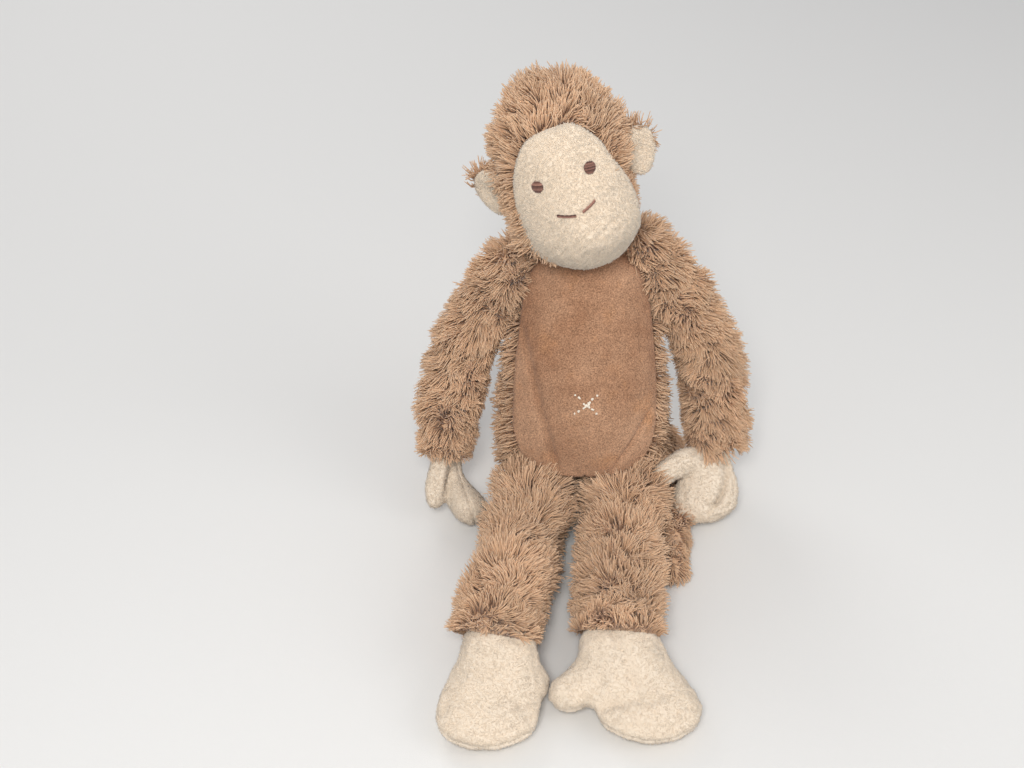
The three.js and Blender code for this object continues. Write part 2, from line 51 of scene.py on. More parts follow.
# %% [markdown]
# ## Camera, floor and light
# The camera looks down on the toy from the front, as a person standing over it does. The floor is one large
# pale sheet, and soft area lamps with a pale sky keep the colours close to what is written in the finishes.

# %% Camera
sensor_width, focal_pixels, picture_pixels = 36, 1400, 1024
camera_data = bpy.data.cameras.new("front_camera")
camera_data.sensor_width = sensor_width
camera_data.lens = sensor_width * focal_pixels / picture_pixels
camera = bpy.data.objects.new("front_camera", camera_data)
camera.location = (-0.036, -0.571, 0.500)
camera.rotation_euler = (math.radians(52), 0, 0)
bpy.context.scene.collection.objects.link(camera)
bpy.context.scene.camera = camera
bpy.context.scene.view_settings.view_transform = "Standard"
print("camera at", tuple(camera.location))


# %% Lamps and sky
def add_lamp(name, place, target, size, watts):
    """A square soft lamp at a place, turned towards a target."""
    data = bpy.data.lights.new(name, "AREA")
    data.size = size
    data.energy = watts
    lamp = bpy.data.objects.new(name, data)
    lamp.location = place
    away = np.array(place) - np.array(target)
    turn = math.atan2(away[1], away[0]) + math.pi / 2
    tip = math.atan2(math.hypot(away[0], away[1]), away[2])
    lamp.rotation_euler = (tip, 0, turn)
    bpy.context.scene.collection.objects.link(lamp)


add_lamp("key_lamp", place=(-0.12, -0.82, 0.86), target=(0, -0.05, 0.08), size=0.3, watts=7.4)
add_lamp("side_lamp", place=(1.0, -0.5, 0.8), target=(0, -0.05, 0.08), size=0.8, watts=3.5)
add_lamp("back_lamp", place=(-0.5, 0.9, 0.9), target=(0, 0, 0.1), size=0.7, watts=4.0)
sky = bpy.data.worlds.new("pale_sky")
sky.use_nodes = True
background = sky.node_tree.nodes["Background"]
background.inputs["Color"].default_value = (0.93, 0.95, 1.0, 1)
background.inputs["Strength"].default_value = 0.5
bpy.context.scene.world = sky
print("lamps", len(bpy.data.lights))

# %% [markdown]
# ## Shader sums written as Python
# A finish is a small network of nodes. One class wraps a socket, so that a sum or a product of sockets adds
# its Math node by itself, and one method adds any other node with its settings and inputs.


# %% Wires for shader maths
class Wire:
    """A shader socket: arithmetic adds Math nodes, and node() adds any other kind."""

    def __init__(self, tree, socket=None):
        self.tree = tree
        self.socket = socket

    def node(self, kind, settings=None, inputs=None, out=0):
        """A node of a kind: its settings come first, then the values and links of its sockets."""
        made = self.tree.nodes.new(kind)
        for key, value in (settings or {}).items():
            setattr(made, key, value)
        for key, value in (inputs or {}).items():
            if isinstance(value, Wire):
                self.tree.links.new(value.socket, made.inputs[key])
            else:
                made.inputs[key].default_value = value
        return Wire(self.tree, made.outputs[out])

    def sum_of(self, operation, first, second):
        """A Math node of two values."""
        return self.node("ShaderNodeMath", {"operation": operation}, {0: first, 1: second})

    def __add__(self, other):
        return self.sum_of("ADD", self, other)

    def __sub__(self, other):
        return self.sum_of("SUBTRACT", self, other)

    def __rsub__(self, other):
        return self.sum_of("SUBTRACT", other, self)

    def __mul__(self, other):
        return self.sum_of("MULTIPLY", self, other)

    __radd__ = __add__
    __rmul__ = __mul__

    def clamped(self):
        """This value, held between 0 and 1."""
        return self.node("ShaderNodeClamp", None, {0: self})

    def blend(self, first, second):
        """A colour between two colours, by this value."""
        return self.node("ShaderNodeMix", {"data_type": "RGBA"}, {0: self, 6: first, 7: second}, 2)

    def dim(self, colour):
        """A colour made lighter or darker by this value."""
        return self.node("ShaderNodeVectorMath", {"operation": "SCALE"}, {0: colour, "Scale": self})

    def noise(self, scale, detail):
        """Soft noise at this place on the object."""
        return self.node("ShaderNodeTexNoise", None, {"Vector": self, "Scale": scale, "Detail": detail})

    def bump(self, strength, distance):
        """A normal that is tilted as if this value were a height."""
        return self.node("ShaderNodeBump", None, {"Strength": strength, "Distance": distance, "Height": self})

    def place(self):
        """The place on the object."""
        return self.node("ShaderNodeTexCoord", None, None, 3)

    def pile(self):
        """The pile vector's numbers: the way along a fibre, the fibre's own tone and the slow drift of the
        cloth."""
        vector = self.node("ShaderNodeAttribute", {"attribute_name": "pile"}, None, 1)
        parts = self.node("ShaderNodeSeparateXYZ", None, {0: vector})
        return [Wire(self.tree, socket) for socket in parts.socket.node.outputs]

    def feed(self, shader, socket):
        """A link from this socket to one of a shader's."""
        self.tree.links.new(self.socket, shader.inputs[socket])


# %% Colours and empty finishes
def tint(red, green, blue):
    """A screen colour from 0 to 255 as the linear colour that a shader wants."""
    share = np.array([red, green, blue]) / 255
    linear = np.where(share <= 0.04045, share / 12.92, ((share + 0.055) / 1.055) ** 2.4)
    return (*linear.tolist(), 1.0)


def new_finish(name, roughness, sheen, specular):
    """An empty finish: its material, a wire to start from, and its shader."""
    material = bpy.data.materials.new(name)
    material.use_nodes = True
    shader = material.node_tree.nodes["Principled BSDF"]
    shader.inputs["Roughness"].default_value = roughness
    shader.inputs["Sheen Weight"].default_value = sheen
    shader.inputs["Sheen Roughness"].default_value = 0.5
    shader.inputs["Specular IOR Level"].default_value = specular
    return material, Wire(material.node_tree), shader


print("white as a shader colour", tint(255, 255, 255))

# %% [markdown]
# ## Finishes
# Real pile is dark at its roots, where the fibres shade one another, and pale at its tips. Each fibre
# carries a small vector: how far along it a point is, a random number of its own, and a slow drift over the
# cloth. The finish reads that vector, so no picture is needed and every fibre gets its own tone.


# %% Pile finishes
def pile_finish(name, tints, contrast, sheen):
    """Root to middle to tip colour along each fibre, times a random tone and a slow drift over the cloth."""
    material, wire, shader = new_finish(name, roughness=0.82, sheen=sheen, specular=0.2)
    root, middle, tip = (tint(*colour) for colour in tints)
    along, own, drift = wire.pile()
    lower = (along * 2.0).clamped()
    upper = (along * 2.0 - 1.0).clamped()
    colour = upper.blend(lower.blend(root, middle), tip)
    tone = (1 - contrast) + own * (contrast * 1.2) + drift * (contrast * 0.8)
    tone.dim(colour).feed(shader, "Base Color")
    return material


fur_tints = ((186, 145, 112), (209, 169, 133), (229, 192, 156))
terry_tints = ((224, 206, 183), (233, 216, 194), (240, 226, 206))
# painted shade: the hands and feet take a darker copy of the cream terry, the same cloth painted darker as if
# less lit
painted_shade_tints = ((216, 198, 176), (225, 208, 186), (233, 218, 198))
shaggy_fur = pile_finish("shaggy_fur", fur_tints, contrast=0.17, sheen=0.25)
cream_terry = pile_finish("cream_terry", terry_tints, contrast=0.08, sheen=0.3)
painted_shade_terry = pile_finish("painted_shade_terry", painted_shade_tints, contrast=0.09, sheen=0.3)
print("pile finishes", shaggy_fur.name, cream_terry.name, painted_shade_terry.name)


# %% Velour finish
def velour_finish(name, dark, pale, rubbed):
    """Short worn pile: two tones mixed by slow noise and made paler low down as painted light, rubbed patches
    in a third tone, times a fine grain, broad patches and each fibre's own tone, with a bump of the same
    grain."""
    material, wire, shader = new_finish(name, roughness=0.88, sheen=0.12, specular=0.12)
    own = wire.pile()[1]
    place = wire.place()
    height = wire.node("ShaderNodeSeparateXYZ", None, {0: place}, 2)
    # painted light: the velour is made paler towards the bottom of the belly, where the lamps light it less
    painted_light_low_down = (1.6 - height * 16.0).clamped()
    slow = ((place.noise(45.0, 3.0) - 0.5) * 2.2 + 0.35 + painted_light_low_down * 0.75).clamped()
    worn = ((place.noise(70.0, 4.0) - 0.56) * 5.0).clamped()
    patches = place.noise(230.0, 4.0)
    grain = place.noise(1500.0, 3.0)
    colour = (worn * 0.6).blend(slow.blend(dark, pale), rubbed)
    tone = grain * 2.1 + own * 0.6 + patches * 0.4 - 0.5
    tone.dim(colour).feed(shader, "Base Color")
    grain.bump(0.6, 0.0005).feed(shader, "Normal")
    return material


belly_velour = velour_finish("belly_velour", tint(150, 110, 83), tint(178, 139, 110), tint(180, 130, 90))
print("velour finish", belly_velour.name)


# %% Thread, filling and pellet finishes
def thread_finish(name, dark, pale, sheen):
    """Two tones mixed by the square of each thread's own number and by fine noise along its fibres."""
    material, wire, shader = new_finish(name, roughness=0.6, sheen=sheen, specular=0.3)
    own = wire.pile()[1]
    grain = wire.place().noise(2600.0, 3.0)
    colour = (own * own * 0.7 + grain * 0.5 - 0.17).blend(tint(*dark), tint(*pale))
    colour.feed(shader, "Base Color")
    grain.bump(0.4, 0.0002).feed(shader, "Normal")
    return material


brown_thread = thread_finish("brown_thread", (66, 34, 27), (186, 136, 116), 0.3)
cream_thread = thread_finish("cream_thread", (232, 218, 196), (252, 246, 234), 0.3)
sewing_thread = thread_finish("sewing_thread", (168, 136, 106), (206, 176, 144), 0.3)
loose_filling = thread_finish("loose_filling", (226, 224, 218), (250, 249, 246), 0.2)
pouch_weave = thread_finish("pouch_weave", (196, 178, 152), (222, 206, 182), 0.1)
pale_pellets = thread_finish("pale_pellets", (208, 208, 204), (226, 226, 222), 0.0)
floor_paint = thread_finish("floor_paint", (226, 224, 220), (229, 227, 223), 0.0)
print("finishes", len(bpy.data.materials))

# %% [markdown]
# ## From arrays to meshes
# Every piece ends as an array of points in millimetres and an array of triangles. One function writes them
# into a mesh, together with the pile vector and the bake map, and ties the piece to its body of the frame.


# %% Writing a mesh
def put_mesh(name, points, faces, finish):
    """Points in millimetres and faces of three or four corners, as a smooth mesh object at the origin."""
    mesh = bpy.data.meshes.new(name)
    mesh.vertices.add(len(points))
    mesh.vertices.foreach_set("co", (points * mm).astype(np.float32).ravel())
    mesh.loops.add(faces.size)
    mesh.loops.foreach_set("vertex_index", faces.astype(np.int32).ravel())
    mesh.polygons.add(len(faces))
    mesh.polygons.foreach_set("loop_start", np.arange(0, faces.size, faces.shape[1], dtype=np.int32))
    mesh.polygons.foreach_set("use_smooth", np.ones(len(faces), bool))
    mesh.update(calc_edges=True)
    mesh.materials.append(finish)
    piece = bpy.data.objects.new(name, mesh)
    bpy.context.scene.collection.objects.link(piece)
    return piece


floor_half = 4000.0
floor_points = np.array([[-1, -1, 0], [1, -1, 0], [1, 1, 0], [-1, 1, 0]]) * floor_half
floor_sheet = put_mesh("floor_sheet", floor_points, np.array([[0, 1, 2], [0, 2, 3]]), floor_paint)
print("floor", 2 * floor_half * mm, "m wide")


# %% Writing a piece
def put_piece(name, points, triangles, finish, body, nodes, pile=None, bake=None):
    """A piece of the toy: its mesh, its attributes, the body it rides on and the solids it stands for."""
    piece = put_mesh(name, points, triangles, finish)
    if pile is None:
        pile = np.full((len(points), 3), 0.5)
    made = piece.data.attributes.new("pile", "FLOAT_VECTOR", "POINT")
    made.data.foreach_set("vector", pile.astype(np.float32).ravel())
    if bake is not None:
        layer = piece.data.uv_layers.new(name="OFBake")
        layer.data.foreach_set("uv", bake.astype(np.float32).ravel())
    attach(piece, body)
    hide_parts(*nodes)
    print(name, len(triangles), "triangles on", body)
    return piece


def outward(points, triangles):
    """Triangles turned so that the closed form they bound has a positive volume: the sum over the triangles
    of the corners' triple product."""
    a, b, c = (points[triangles[:, i]] for i in range(3))
    volume = np.einsum("ij,ij->i", a, np.cross(b, c)).sum()
    return triangles if volume > 0 else triangles[:, ::-1]


# %% [markdown]
# ## Swelling tubes
# A stuffed limb is a tube that follows a smooth line and swells and tapers along it, with rounded ends. The
# line is a cubic curve through a few points, and the half widths are eased through a few values, so the
# same numbers that drive the solids drive the cloth.


# %% Small helpers
def unit(vectors):
    """Vectors divided by their lengths."""
    return vectors / np.maximum(np.linalg.norm(vectors, axis=-1, keepdims=True), 1e-9)


def ramp(value, start, end):
    """0 at start, 1 at end, straight between them and level beyond."""
    return np.clip((value - start) / (end - start), 0, 1)


def hill(value, width):
    """A smooth hill: e to the power of minus the square of value over width."""
    return np.exp(-((value / width) ** 2))


print("ramp", ramp(1.5, 1, 2), "hill", hill(0, 1))


# %% Smooth lines
def path_through(points, fine=60):
    """A cubic line through points, timed by the root of their distances, whose slope at a point comes from
    both its neighbours: its places, directions and distances along it."""
    p = np.array(points, float)
    p = np.vstack([2 * p[0] - p[1], p, 2 * p[-1] - p[-2]])
    gap = np.sqrt(np.linalg.norm(np.diff(p, axis=0), axis=1))[:, None, None]
    a, b, c, d = (p[i : len(p) - 3 + i][:, None] for i in range(4))
    before, here, after = gap[:-2], gap[1:-1], gap[2:]
    leave = here * ((b - a) / before - (c - a) / (before + here) + (c - b) / here)
    arrive = here * ((c - b) / here - (d - b) / (here + after) + (d - c) / after)
    t = np.linspace(0, 1, fine, endpoint=False)[None, :, None]
    bends = -3 * b + 3 * c - 2 * leave - arrive
    twists = 2 * b - 2 * c + leave + arrive
    places = (b + leave * t + bends * t**2 + twists * t**3).reshape(-1, 3)
    places = np.vstack([places, p[-2]])
    steps = np.linalg.norm(np.diff(places, axis=0), axis=1)
    reach = np.concatenate([[0], np.cumsum(steps)])
    return places, unit(np.gradient(places, axis=0)), reach


def eased(values, share):
    """A value that passes through a row of values as share goes from 0 to 1: a cubic between each two,
    whose slopes are half the step from the value before to the value after."""
    v = np.array(values, float)
    spot = np.clip(share, 0, 1) * (len(v) - 1)
    low = np.minimum(spot.astype(int), len(v) - 2)
    t = spot - low
    a, b, c, d = (v[np.clip(low + i, 0, len(v) - 1)] for i in (-1, 0, 1, 2))
    leave, arrive = (c - a) / 2, (d - b) / 2
    bends = -3 * b + 3 * c - 2 * leave - arrive
    twists = 2 * b - 2 * c + leave + arrive
    return b + leave * t + bends * t**2 + twists * t**3


def along_line(line, reach):
    """Places and directions at distances along a line."""
    places, directions, distances = line
    at = [np.interp(reach, distances, column) for column in places.T]
    ahead = [np.interp(reach, distances, column) for column in directions.T]
    return np.stack(at, -1), unit(np.stack(ahead, -1))


# %% The swelling tube
def swell(shape, share, angle, inset=0.0):
    """A point of the tube: the line's place, plus the half width across it times the cosine of the angle,
    plus the half depth times the sine; both shrink to nothing on a quarter circle at the rounded ends."""
    line = path_through(shape["points"])
    total = line[2][-1]
    reach = inset + (total - 2 * inset) * share
    middle, forward = along_line(line, reach)
    across = np.array(shape["across"], float)
    wide = unit(across - (forward @ across)[..., None] * forward)
    deep = np.cross(forward, wide)
    caps = [max(cap - inset, 0.5) for cap in shape["caps"]]
    missing = np.maximum(1 - (reach - inset) / caps[0], 1 - (total - inset - reach) / caps[1])
    rounding = np.sqrt(np.clip(1 - np.maximum(missing, 0) ** 2, 0, 1))
    half_width = (eased(shape["widths"], reach / total) - inset) * rounding
    half_depth = (eased(shape["depths"], reach / total) - inset) * rounding
    offset = wide * (half_width * np.cos(angle))[..., None] + deep * (half_depth * np.sin(angle))[..., None]
    return middle + offset, forward + 0 * offset


def tube_triangles(rings, around):
    """Triangles of a closed tube: one pole, rings of points, and the other pole."""
    ring = 1 + np.arange(rings * around).reshape(rings, around)
    side = np.roll(ring, -1, axis=1)
    a, b, c, d = ring[:-1].ravel(), side[:-1].ravel(), ring[1:].ravel(), side[1:].ravel()
    last = np.full(around, 1 + rings * around)
    parts = [(a, b, d), (a, d, c), (0 * last, side[0], ring[0]), (last, ring[-1], side[-1])]
    return np.vstack([np.stack(part, 1) for part in parts])


def closed_skin(shape, inset, rings, around):
    """The whole tube with both rounded ends, and the direction along it at every point."""
    share = (1 - np.cos(np.pi * np.arange(1, rings + 1) / (rings + 1))) / 2
    angle = 2 * np.pi * np.arange(around) / around
    share, angle = np.meshgrid(share, angle, indexing="ij")
    points, flow = swell(shape, share, angle, inset)
    ends, end_flow = swell(shape, np.array([0.0, 1.0]), np.zeros(2), inset)
    points = np.vstack([ends[:1], points.reshape(-1, 3), ends[1:]])
    flow = np.vstack([end_flow[:1], flow.reshape(-1, 3), end_flow[1:]])
    triangles = outward(points, tube_triangles(rings, around))
    return {"points": points, "triangles": triangles, "flow": flow, "bare": np.zeros(len(points))}


# %% Sleeves with a cupped end
def cupped_skin(shape, past_end, inset, cup_depth, rings=56, around=56, slant=0.0, flare=0.0, lay=(1, 1)):
    """A sleeve: the tube up to its cut end, flared to the sides and slanted so that its upper side is
    longer, then a hollow cup back into it, closed at its bottom: the rim shrinks by a cosine as it sinks by
    the sine. Its pile is combed to both sides, and along the sleeve by the values of lay."""
    line = path_through(shape["points"])
    total = line[2][-1]
    last = (total - past_end - inset) / (total - 2 * inset)
    step = np.arange(1, rings + 1) / rings
    share = last * (0.45 * step + 0.55 * step**1.6)
    angle = 2 * np.pi * np.arange(around) / around
    tube, flow = swell(shape, *np.meshgrid(share, angle, indexing="ij"), inset)
    apart = np.clip((tube - tube.mean(1, keepdims=True))[..., :1] / 20, -1, 1) * [1.0, 0, 0]
    combed = flow * np.interp(step, np.linspace(0, 1, len(lay)), lay)[:, None, None] + 0.7 * apart
    ending = ramp(step, 0.75, 1)[:, None]
    tube += unit(tube - tube.mean(1, keepdims=True)) * [1, 1, 0.2] * (flare * ending**2)[..., None]
    tube += flow * (slant * ending * np.sin(angle))[..., None]
    start, start_flow = swell(shape, np.zeros(1), np.zeros(1), inset)
    middle, ahead = along_line(line, np.array([total - past_end]))
    narrowing = np.cos(np.linspace(0.15, 1.45, 8))[:, None, None]
    cup = middle + (tube[-1] - middle) * narrowing - ahead * cup_depth * np.sqrt(1 - narrowing**2)
    bottom = middle - ahead * cup_depth
    points = np.vstack([start, tube.reshape(-1, 3), cup.reshape(-1, 3), bottom])
    furry = 1 + rings * around
    flow = np.vstack([start_flow, combed.reshape(-1, 3), np.tile(ahead, (len(points) - furry, 1))])
    bare = (np.arange(len(points)) >= furry).astype(float)
    triangles = outward(points, tube_triangles(rings + len(cup), around))
    return {"points": points, "triangles": triangles, "flow": flow, "bare": bare}


# %% [markdown]
# ## Fusing forms
# Some skins swell in more than one place: a foot has a toe, a hand a thumb and the torso two shoulders. A
# joined grid of points would need a seam for every lobe. Instead each lobe is a tube of its own, and a
# voxel remesh melts the lobes into one skin, which is then smoothed.


# %% Fusing and smoothing
def joined(parts):
    """Several closed forms as one mesh."""
    starts = np.cumsum([0] + [len(points) for points, _ in parts[:-1]])
    points = np.vstack([part[0] for part in parts])
    return points, np.vstack([part[1] + start for part, start in zip(parts, starts)])


def taken_off(piece):
    """The points in millimetres and the four-cornered faces of a helper with its modifiers; the helper
    goes."""
    shown = piece.evaluated_get(bpy.context.evaluated_depsgraph_get()).to_mesh()
    co = np.zeros(len(shown.vertices) * 3, np.float32)
    shown.vertices.foreach_get("co", co)
    quads = np.zeros(len(shown.polygons) * 4, np.int32)
    shown.polygons.foreach_get("vertices", quads)
    bpy.data.objects.remove(piece)
    return co.reshape(-1, 3).astype(float) / mm, quads.reshape(-1, 4)


def fused(forms, voxel, rounds):
    """Overlapping closed forms as one smooth skin: a voxel remesh, then in each round every point moves
    half way to the mean of its neighbours."""
    points, triangles = joined([(form["points"], form["triangles"]) for form in forms])
    lump = put_mesh("lump", points, triangles, floor_paint)
    remesh = lump.modifiers.new("remesh", "REMESH")
    remesh.mode = "VOXEL"
    remesh.voxel_size = voxel * mm
    points, quads = taken_off(lump)
    ends = np.vstack([quads[:, [i, (i + 1) % 4]] for i in range(4)])
    count = np.bincount(ends.ravel(), minlength=len(points))[:, None]
    for _ in range(rounds):
        total = np.zeros_like(points)
        np.add.at(total, ends[:, 0], points[ends[:, 1]])
        np.add.at(total, ends[:, 1], points[ends[:, 0]])
        points = 0.5 * points + 0.5 * total / count
    print("fused", len(forms), "forms into", len(quads), "faces")
    return points, quads


def halved(points, quads):
    """Each four-cornered face as two triangles."""
    return outward(points, np.vstack([quads[:, [0, 1, 2]], quads[:, [0, 2, 3]]]))


def ball_shape(middle, radius):
    """A ball as the shortest swelling tube."""
    middle = np.array(middle, float)
    line = [middle - [0, 0, radius], middle, middle + [0, 0, radius]]
    sizes = [radius] * 3
    return {"points": line, "widths": sizes, "depths": sizes, "caps": [radius] * 2, "across": (1, 0, 0)}


# %% [markdown]
# ## Growing pile on a skin
# Fur could be a particle system, but then the finished piece would not be a mesh. Here each fibre is a slim
# closed sliver with three sides: it leaves the skin near its normal, is combed along the limb, wanders with
# its neighbours in soft tufts, and bends. Short terry fibres use the same recipe with a single straight
# step.


# %% Scattering roots
def skin_normals(points, triangles):
    """The mean direction of the faces round each point, larger faces counting more."""
    a, b, c = (points[triangles[:, i]] for i in range(3))
    face = np.cross(b - a, c - a)
    normals = np.zeros_like(points)
    for corner in range(3):
        np.add.at(normals, triangles[:, corner], face)
    return unit(normals)


def scatter(skin, count):
    """Random spots on a skin, even by area apart from its crowding, and none on its bare part: the
    triangles and their three shares."""
    points, triangles = skin["points"], skin["triangles"]
    a, b, c = (points[triangles[:, i]] for i in range(3))
    area = np.linalg.norm(np.cross(b - a, c - a), axis=1)
    area = area * (skin["bare"][triangles].max(1) < 0.5)
    if "crowd" in skin:
        area = area * skin["crowd"][triangles].mean(1)
    bounds = np.cumsum(area)
    face = np.searchsorted(bounds, dice.random(count) * bounds[-1])
    one, two = np.sqrt(dice.random(count)), dice.random(count)
    shares = np.stack([1 - one, one * (1 - two), one * two], 1)
    return triangles[face], shares


def rooted(skin, count):
    """The places, normals and combing directions of random spots: the corners' values times their shares."""
    corners, shares = scatter(skin, count)
    normals = skin_normals(skin["points"], skin["triangles"])
    root, normal, flow = (
        np.einsum("ij,ijk->ik", shares, values[corners]) for values in (skin["points"], normals, skin["flow"])
    )
    return root, unit(normal), flow


# %% Directions of fibres
def waves(points, length, seed):
    """A smooth random vector field: seven plane waves of about that length, added up."""
    own = np.random.default_rng(seed)
    heading = unit(own.normal(size=(7, 3))) * (2 * np.pi / length) * own.uniform(0.6, 1.5, (7, 1))
    phase = own.uniform(0, 2 * np.pi, (7, 1, 3))
    return np.sin(np.einsum("ij,kj->ki", points, heading)[:, :, None] + phase).sum(0) / 2.2


def lifted(direction, normal, least):
    """A direction raised towards the normal by twice what its share of the normal falls short of the
    least."""
    short = np.maximum(least - np.einsum("ij,ij->i", direction, normal), 0)
    return unit(direction + normal * short[:, None] * 2)


def slow_drift(root, length, seed):
    """A slow change of tone over the cloth, from 0 to 1."""
    return np.clip(0.5 + 0.35 * waves(root, length, seed)[:, 0], 0, 1)


# %% Closed slivers
def fibre_pattern(rings):
    """Corners of a three-sided sliver with that many rings, a point and a closed root, and their flat map."""
    corners, flat = [], []
    for ring in range(rings - 1):
        low, high = ring / rings, (ring + 1) / rings
        for side in range(3):
            a, b = 3 * ring + side, 3 * ring + (side + 1) % 3
            corners += [(a, b, b + 3), (a, b + 3, a + 3)]
            flat += [(side, low), (side + 1, low), (side + 1, high)]
            flat += [(side, low), (side + 1, high), (side, high)]
    last, low = 3 * (rings - 1), (rings - 1) / rings
    for side in range(3):
        corners.append((last + side, last + (side + 1) % 3, 3 * rings))
        flat += [(side, low), (side + 1, low), (side + 0.5, 1.0)]
    corners.append((0, 2, 1))
    flat += [(0, 0), (1, 0), (2, 0)]
    return np.array(corners), np.array(flat, float) / [3, 1]


def fibres(root, low, high, length, width):
    """Closed slivers. A bent fibre has a triangle at its root, its middle and near its blunt end, then a
    point; a short one has a single triangle and a point."""
    count = len(root)
    side = unit(np.cross(low, dice.normal(size=(count, 3))))
    front = np.cross(low, side)
    turn = 2 * np.pi * np.arange(3) / 3
    ring = side[:, None] * np.cos(turn)[None, :, None] + front[:, None] * np.sin(turn)[None, :, None]
    ring = ring * width[:, None, None]
    if high is None:
        tip = root + low * length[:, None]
        points = np.concatenate([root[:, None] + ring, tip[:, None]], 1)
        along = np.repeat([0.1, 1.0], [3, 1])
    else:
        middle = root + low * (0.5 * length)[:, None]
        late = middle + high * (0.44 * length)[:, None]
        tip = middle + high * (0.5 * length)[:, None]
        rings = [root[:, None] + ring, middle[:, None] + ring, late[:, None] + ring * 0.72, tip[:, None]]
        points = np.concatenate(rings, 1)
        along = np.repeat([0.0, 0.5, 0.95, 1.0], [3, 3, 3, 1])
    corners, flat = fibre_pattern(len(along) // 3)
    triangles = (corners[None] + (points.shape[1] * np.arange(count))[:, None, None]).reshape(-1, 3)
    return points, triangles, along, flat


# %% A skin with its pile
down = np.array([0.0, 0.0, -1.0])
floor_clear = 0.25


def with_pile(skin, points, triangles, along, flat, own, drift):
    """The skin and its fibres as one mesh, with the pile vector and a bake map: a square cell for each
    triangle of the skin in the lowest fifth, and one for each fibre above it."""
    count = len(points)
    skin_points, skin_triangles = skin["points"], skin["triangles"]
    all_points = np.vstack([skin_points, points.reshape(-1, 3)])
    all_triangles = np.vstack([skin_triangles, triangles + len(skin_points)])
    each = len(along)
    fibre_pile = np.stack([np.tile(along, count), np.repeat(own, each), np.repeat(drift, each)], 1)
    skin_pile = np.tile([skin.get("along", 0.75), 0.5, 0.5], (len(skin_points), 1))
    across = math.ceil(math.sqrt(count * 1.02))
    cell = np.stack([np.arange(count) % across, np.arange(count) // across], 1)
    corner = flat * 0.8 + 0.1
    fibre_map = (cell[:, None] + corner[None]).reshape(-1, 2) / [across, across] * [1.0, 0.8] + [0.0, 0.2]
    steps = np.arange(len(skin_triangles))
    wide = math.ceil(math.sqrt(len(skin_triangles) * 5))
    inside = np.array([[0.1, 0.1], [0.9, 0.1], [0.1, 0.9]])
    spot = np.stack([steps % wide, steps // wide], 1)[:, None] + inside
    skin_map = spot.reshape(-1, 2) / [wide, wide]
    return all_points, all_triangles, np.vstack([skin_pile, fibre_pile]), np.vstack([skin_map, fibre_map])


def planted(name, skin, strands, drift, finish, body, nodes):
    """Fibres kept above the floor, each with a tone of its own, joined with their skin into a padded
    piece."""
    points, triangles, along, flat = strands
    points[:, :, 2] = np.maximum(points[:, :, 2], floor_clear)
    own = dice.random(len(points))
    points, triangles, pile, bake = with_pile(skin, points, triangles, along, flat, own, drift)
    return put_piece(name, points, triangles, finish, body, nodes, pile, bake)


# %% Fur and terry
def grow_fur(name, skin, body, nodes, count, length, width, comb, shorten, seed):
    """Shaggy fur: the lower half of a strand mixes the normal, the comb and two wave fields, and the upper
    half turns further with a third field and its own weight; locks of strands are longer or shorter
    together. A strand that is cut short is thinner too."""
    root, normal, flow = rooted(skin, count)
    flow = flow + 0.5 * waves(root, 20.0, seed + 4)
    flow = flow / np.maximum(1, np.linalg.norm(flow, axis=1, keepdims=True))
    low = normal + comb * 0.5 * flow + 0.26 * waves(root, 26.0, seed) + 0.26 * waves(root, 8.0, seed + 1)
    low = lifted(unit(low + 0.09 * dice.normal(size=root.shape)), normal, 0.25)
    high = low + comb * flow + 0.42 * waves(root, 11.0, seed + 2) + 0.14 * down
    high = unit(high + 0.2 * dice.normal(size=root.shape))
    size = length * (0.72 + 0.42 * dice.random(count) + 0.12 * waves(root, 12.0, seed + 5)[:, 0])
    cut = np.ones(count) if shorten is None else shorten(root)
    thick = width * (0.8 + 0.4 * dice.random(count)) * np.clip(1.4 * cut, 0.5, 1)
    strands = fibres(root - normal * 0.4, low, high, size * cut, thick)
    drift = slow_drift(root, 30.0, seed + 3)
    return planted(name, skin, strands, drift, shaggy_fur, body, nodes)


def grow_terry(name, skin, body, nodes, count, finish, length, width, lean, seed):
    """Short pile: straight slivers that lean a little, in small patches that lean together."""
    root, normal, _ = rooted(skin, count)
    tilt = lean * waves(root, 2.6, seed) + lean * dice.normal(size=root.shape)
    low = lifted(unit(normal + tilt), normal, 0.3)
    size = length * (0.6 + 0.7 * dice.random(count))
    thick = width * (0.75 + 0.5 * dice.random(count))
    tufts = fibres(root - normal * 0.25, low, None, size, thick)
    drift = slow_drift(root, 22.0, seed + 3)
    return planted(name, skin, tufts, drift, finish, body, nodes)


# %% [markdown]
# ## Arms and legs
# A limb is a shaggy sleeve with a round end in the shoulder or hip, so that it can turn there, and a cut
# end at the wrist or ankle. The cut end is hollowed into a cup, where the hand or foot is sewn in. The
# backing cloth lies inside the outline of the solids, and the pile fills the rest of the way.

# %% Sleeves of the arms
backing_depth, arm_backing, leg_backing = 5.5, 6.2, 6.8
shoulder = np.array([36.0, 4.0, 121.0])
arm_radius = 16.5
past_wrist = 20
mirror = {"left": np.array([1.0, 1.0, 1.0]), "right": np.array([-1.0, 1.0, 1.0])}
wrists = {"left": np.array([67.0, -25.0, 31.5]), "right": np.array([-68.5, -28.0, 30.0])}
elbows = {"left": np.array([60.0, -2.0, 80.0]), "right": np.array([-58.5, -4.0, 78.0])}
hand_ahead = {"left": np.array([0.2, -0.66, -0.72]), "right": np.array([0.3, -0.65, -0.7])}


def wrist_ahead(word):
    """The direction of the wrist: half way between the forearm's and the hand's."""
    return unit(unit(wrists[word] - elbows[word]) + unit(hand_ahead[word]))


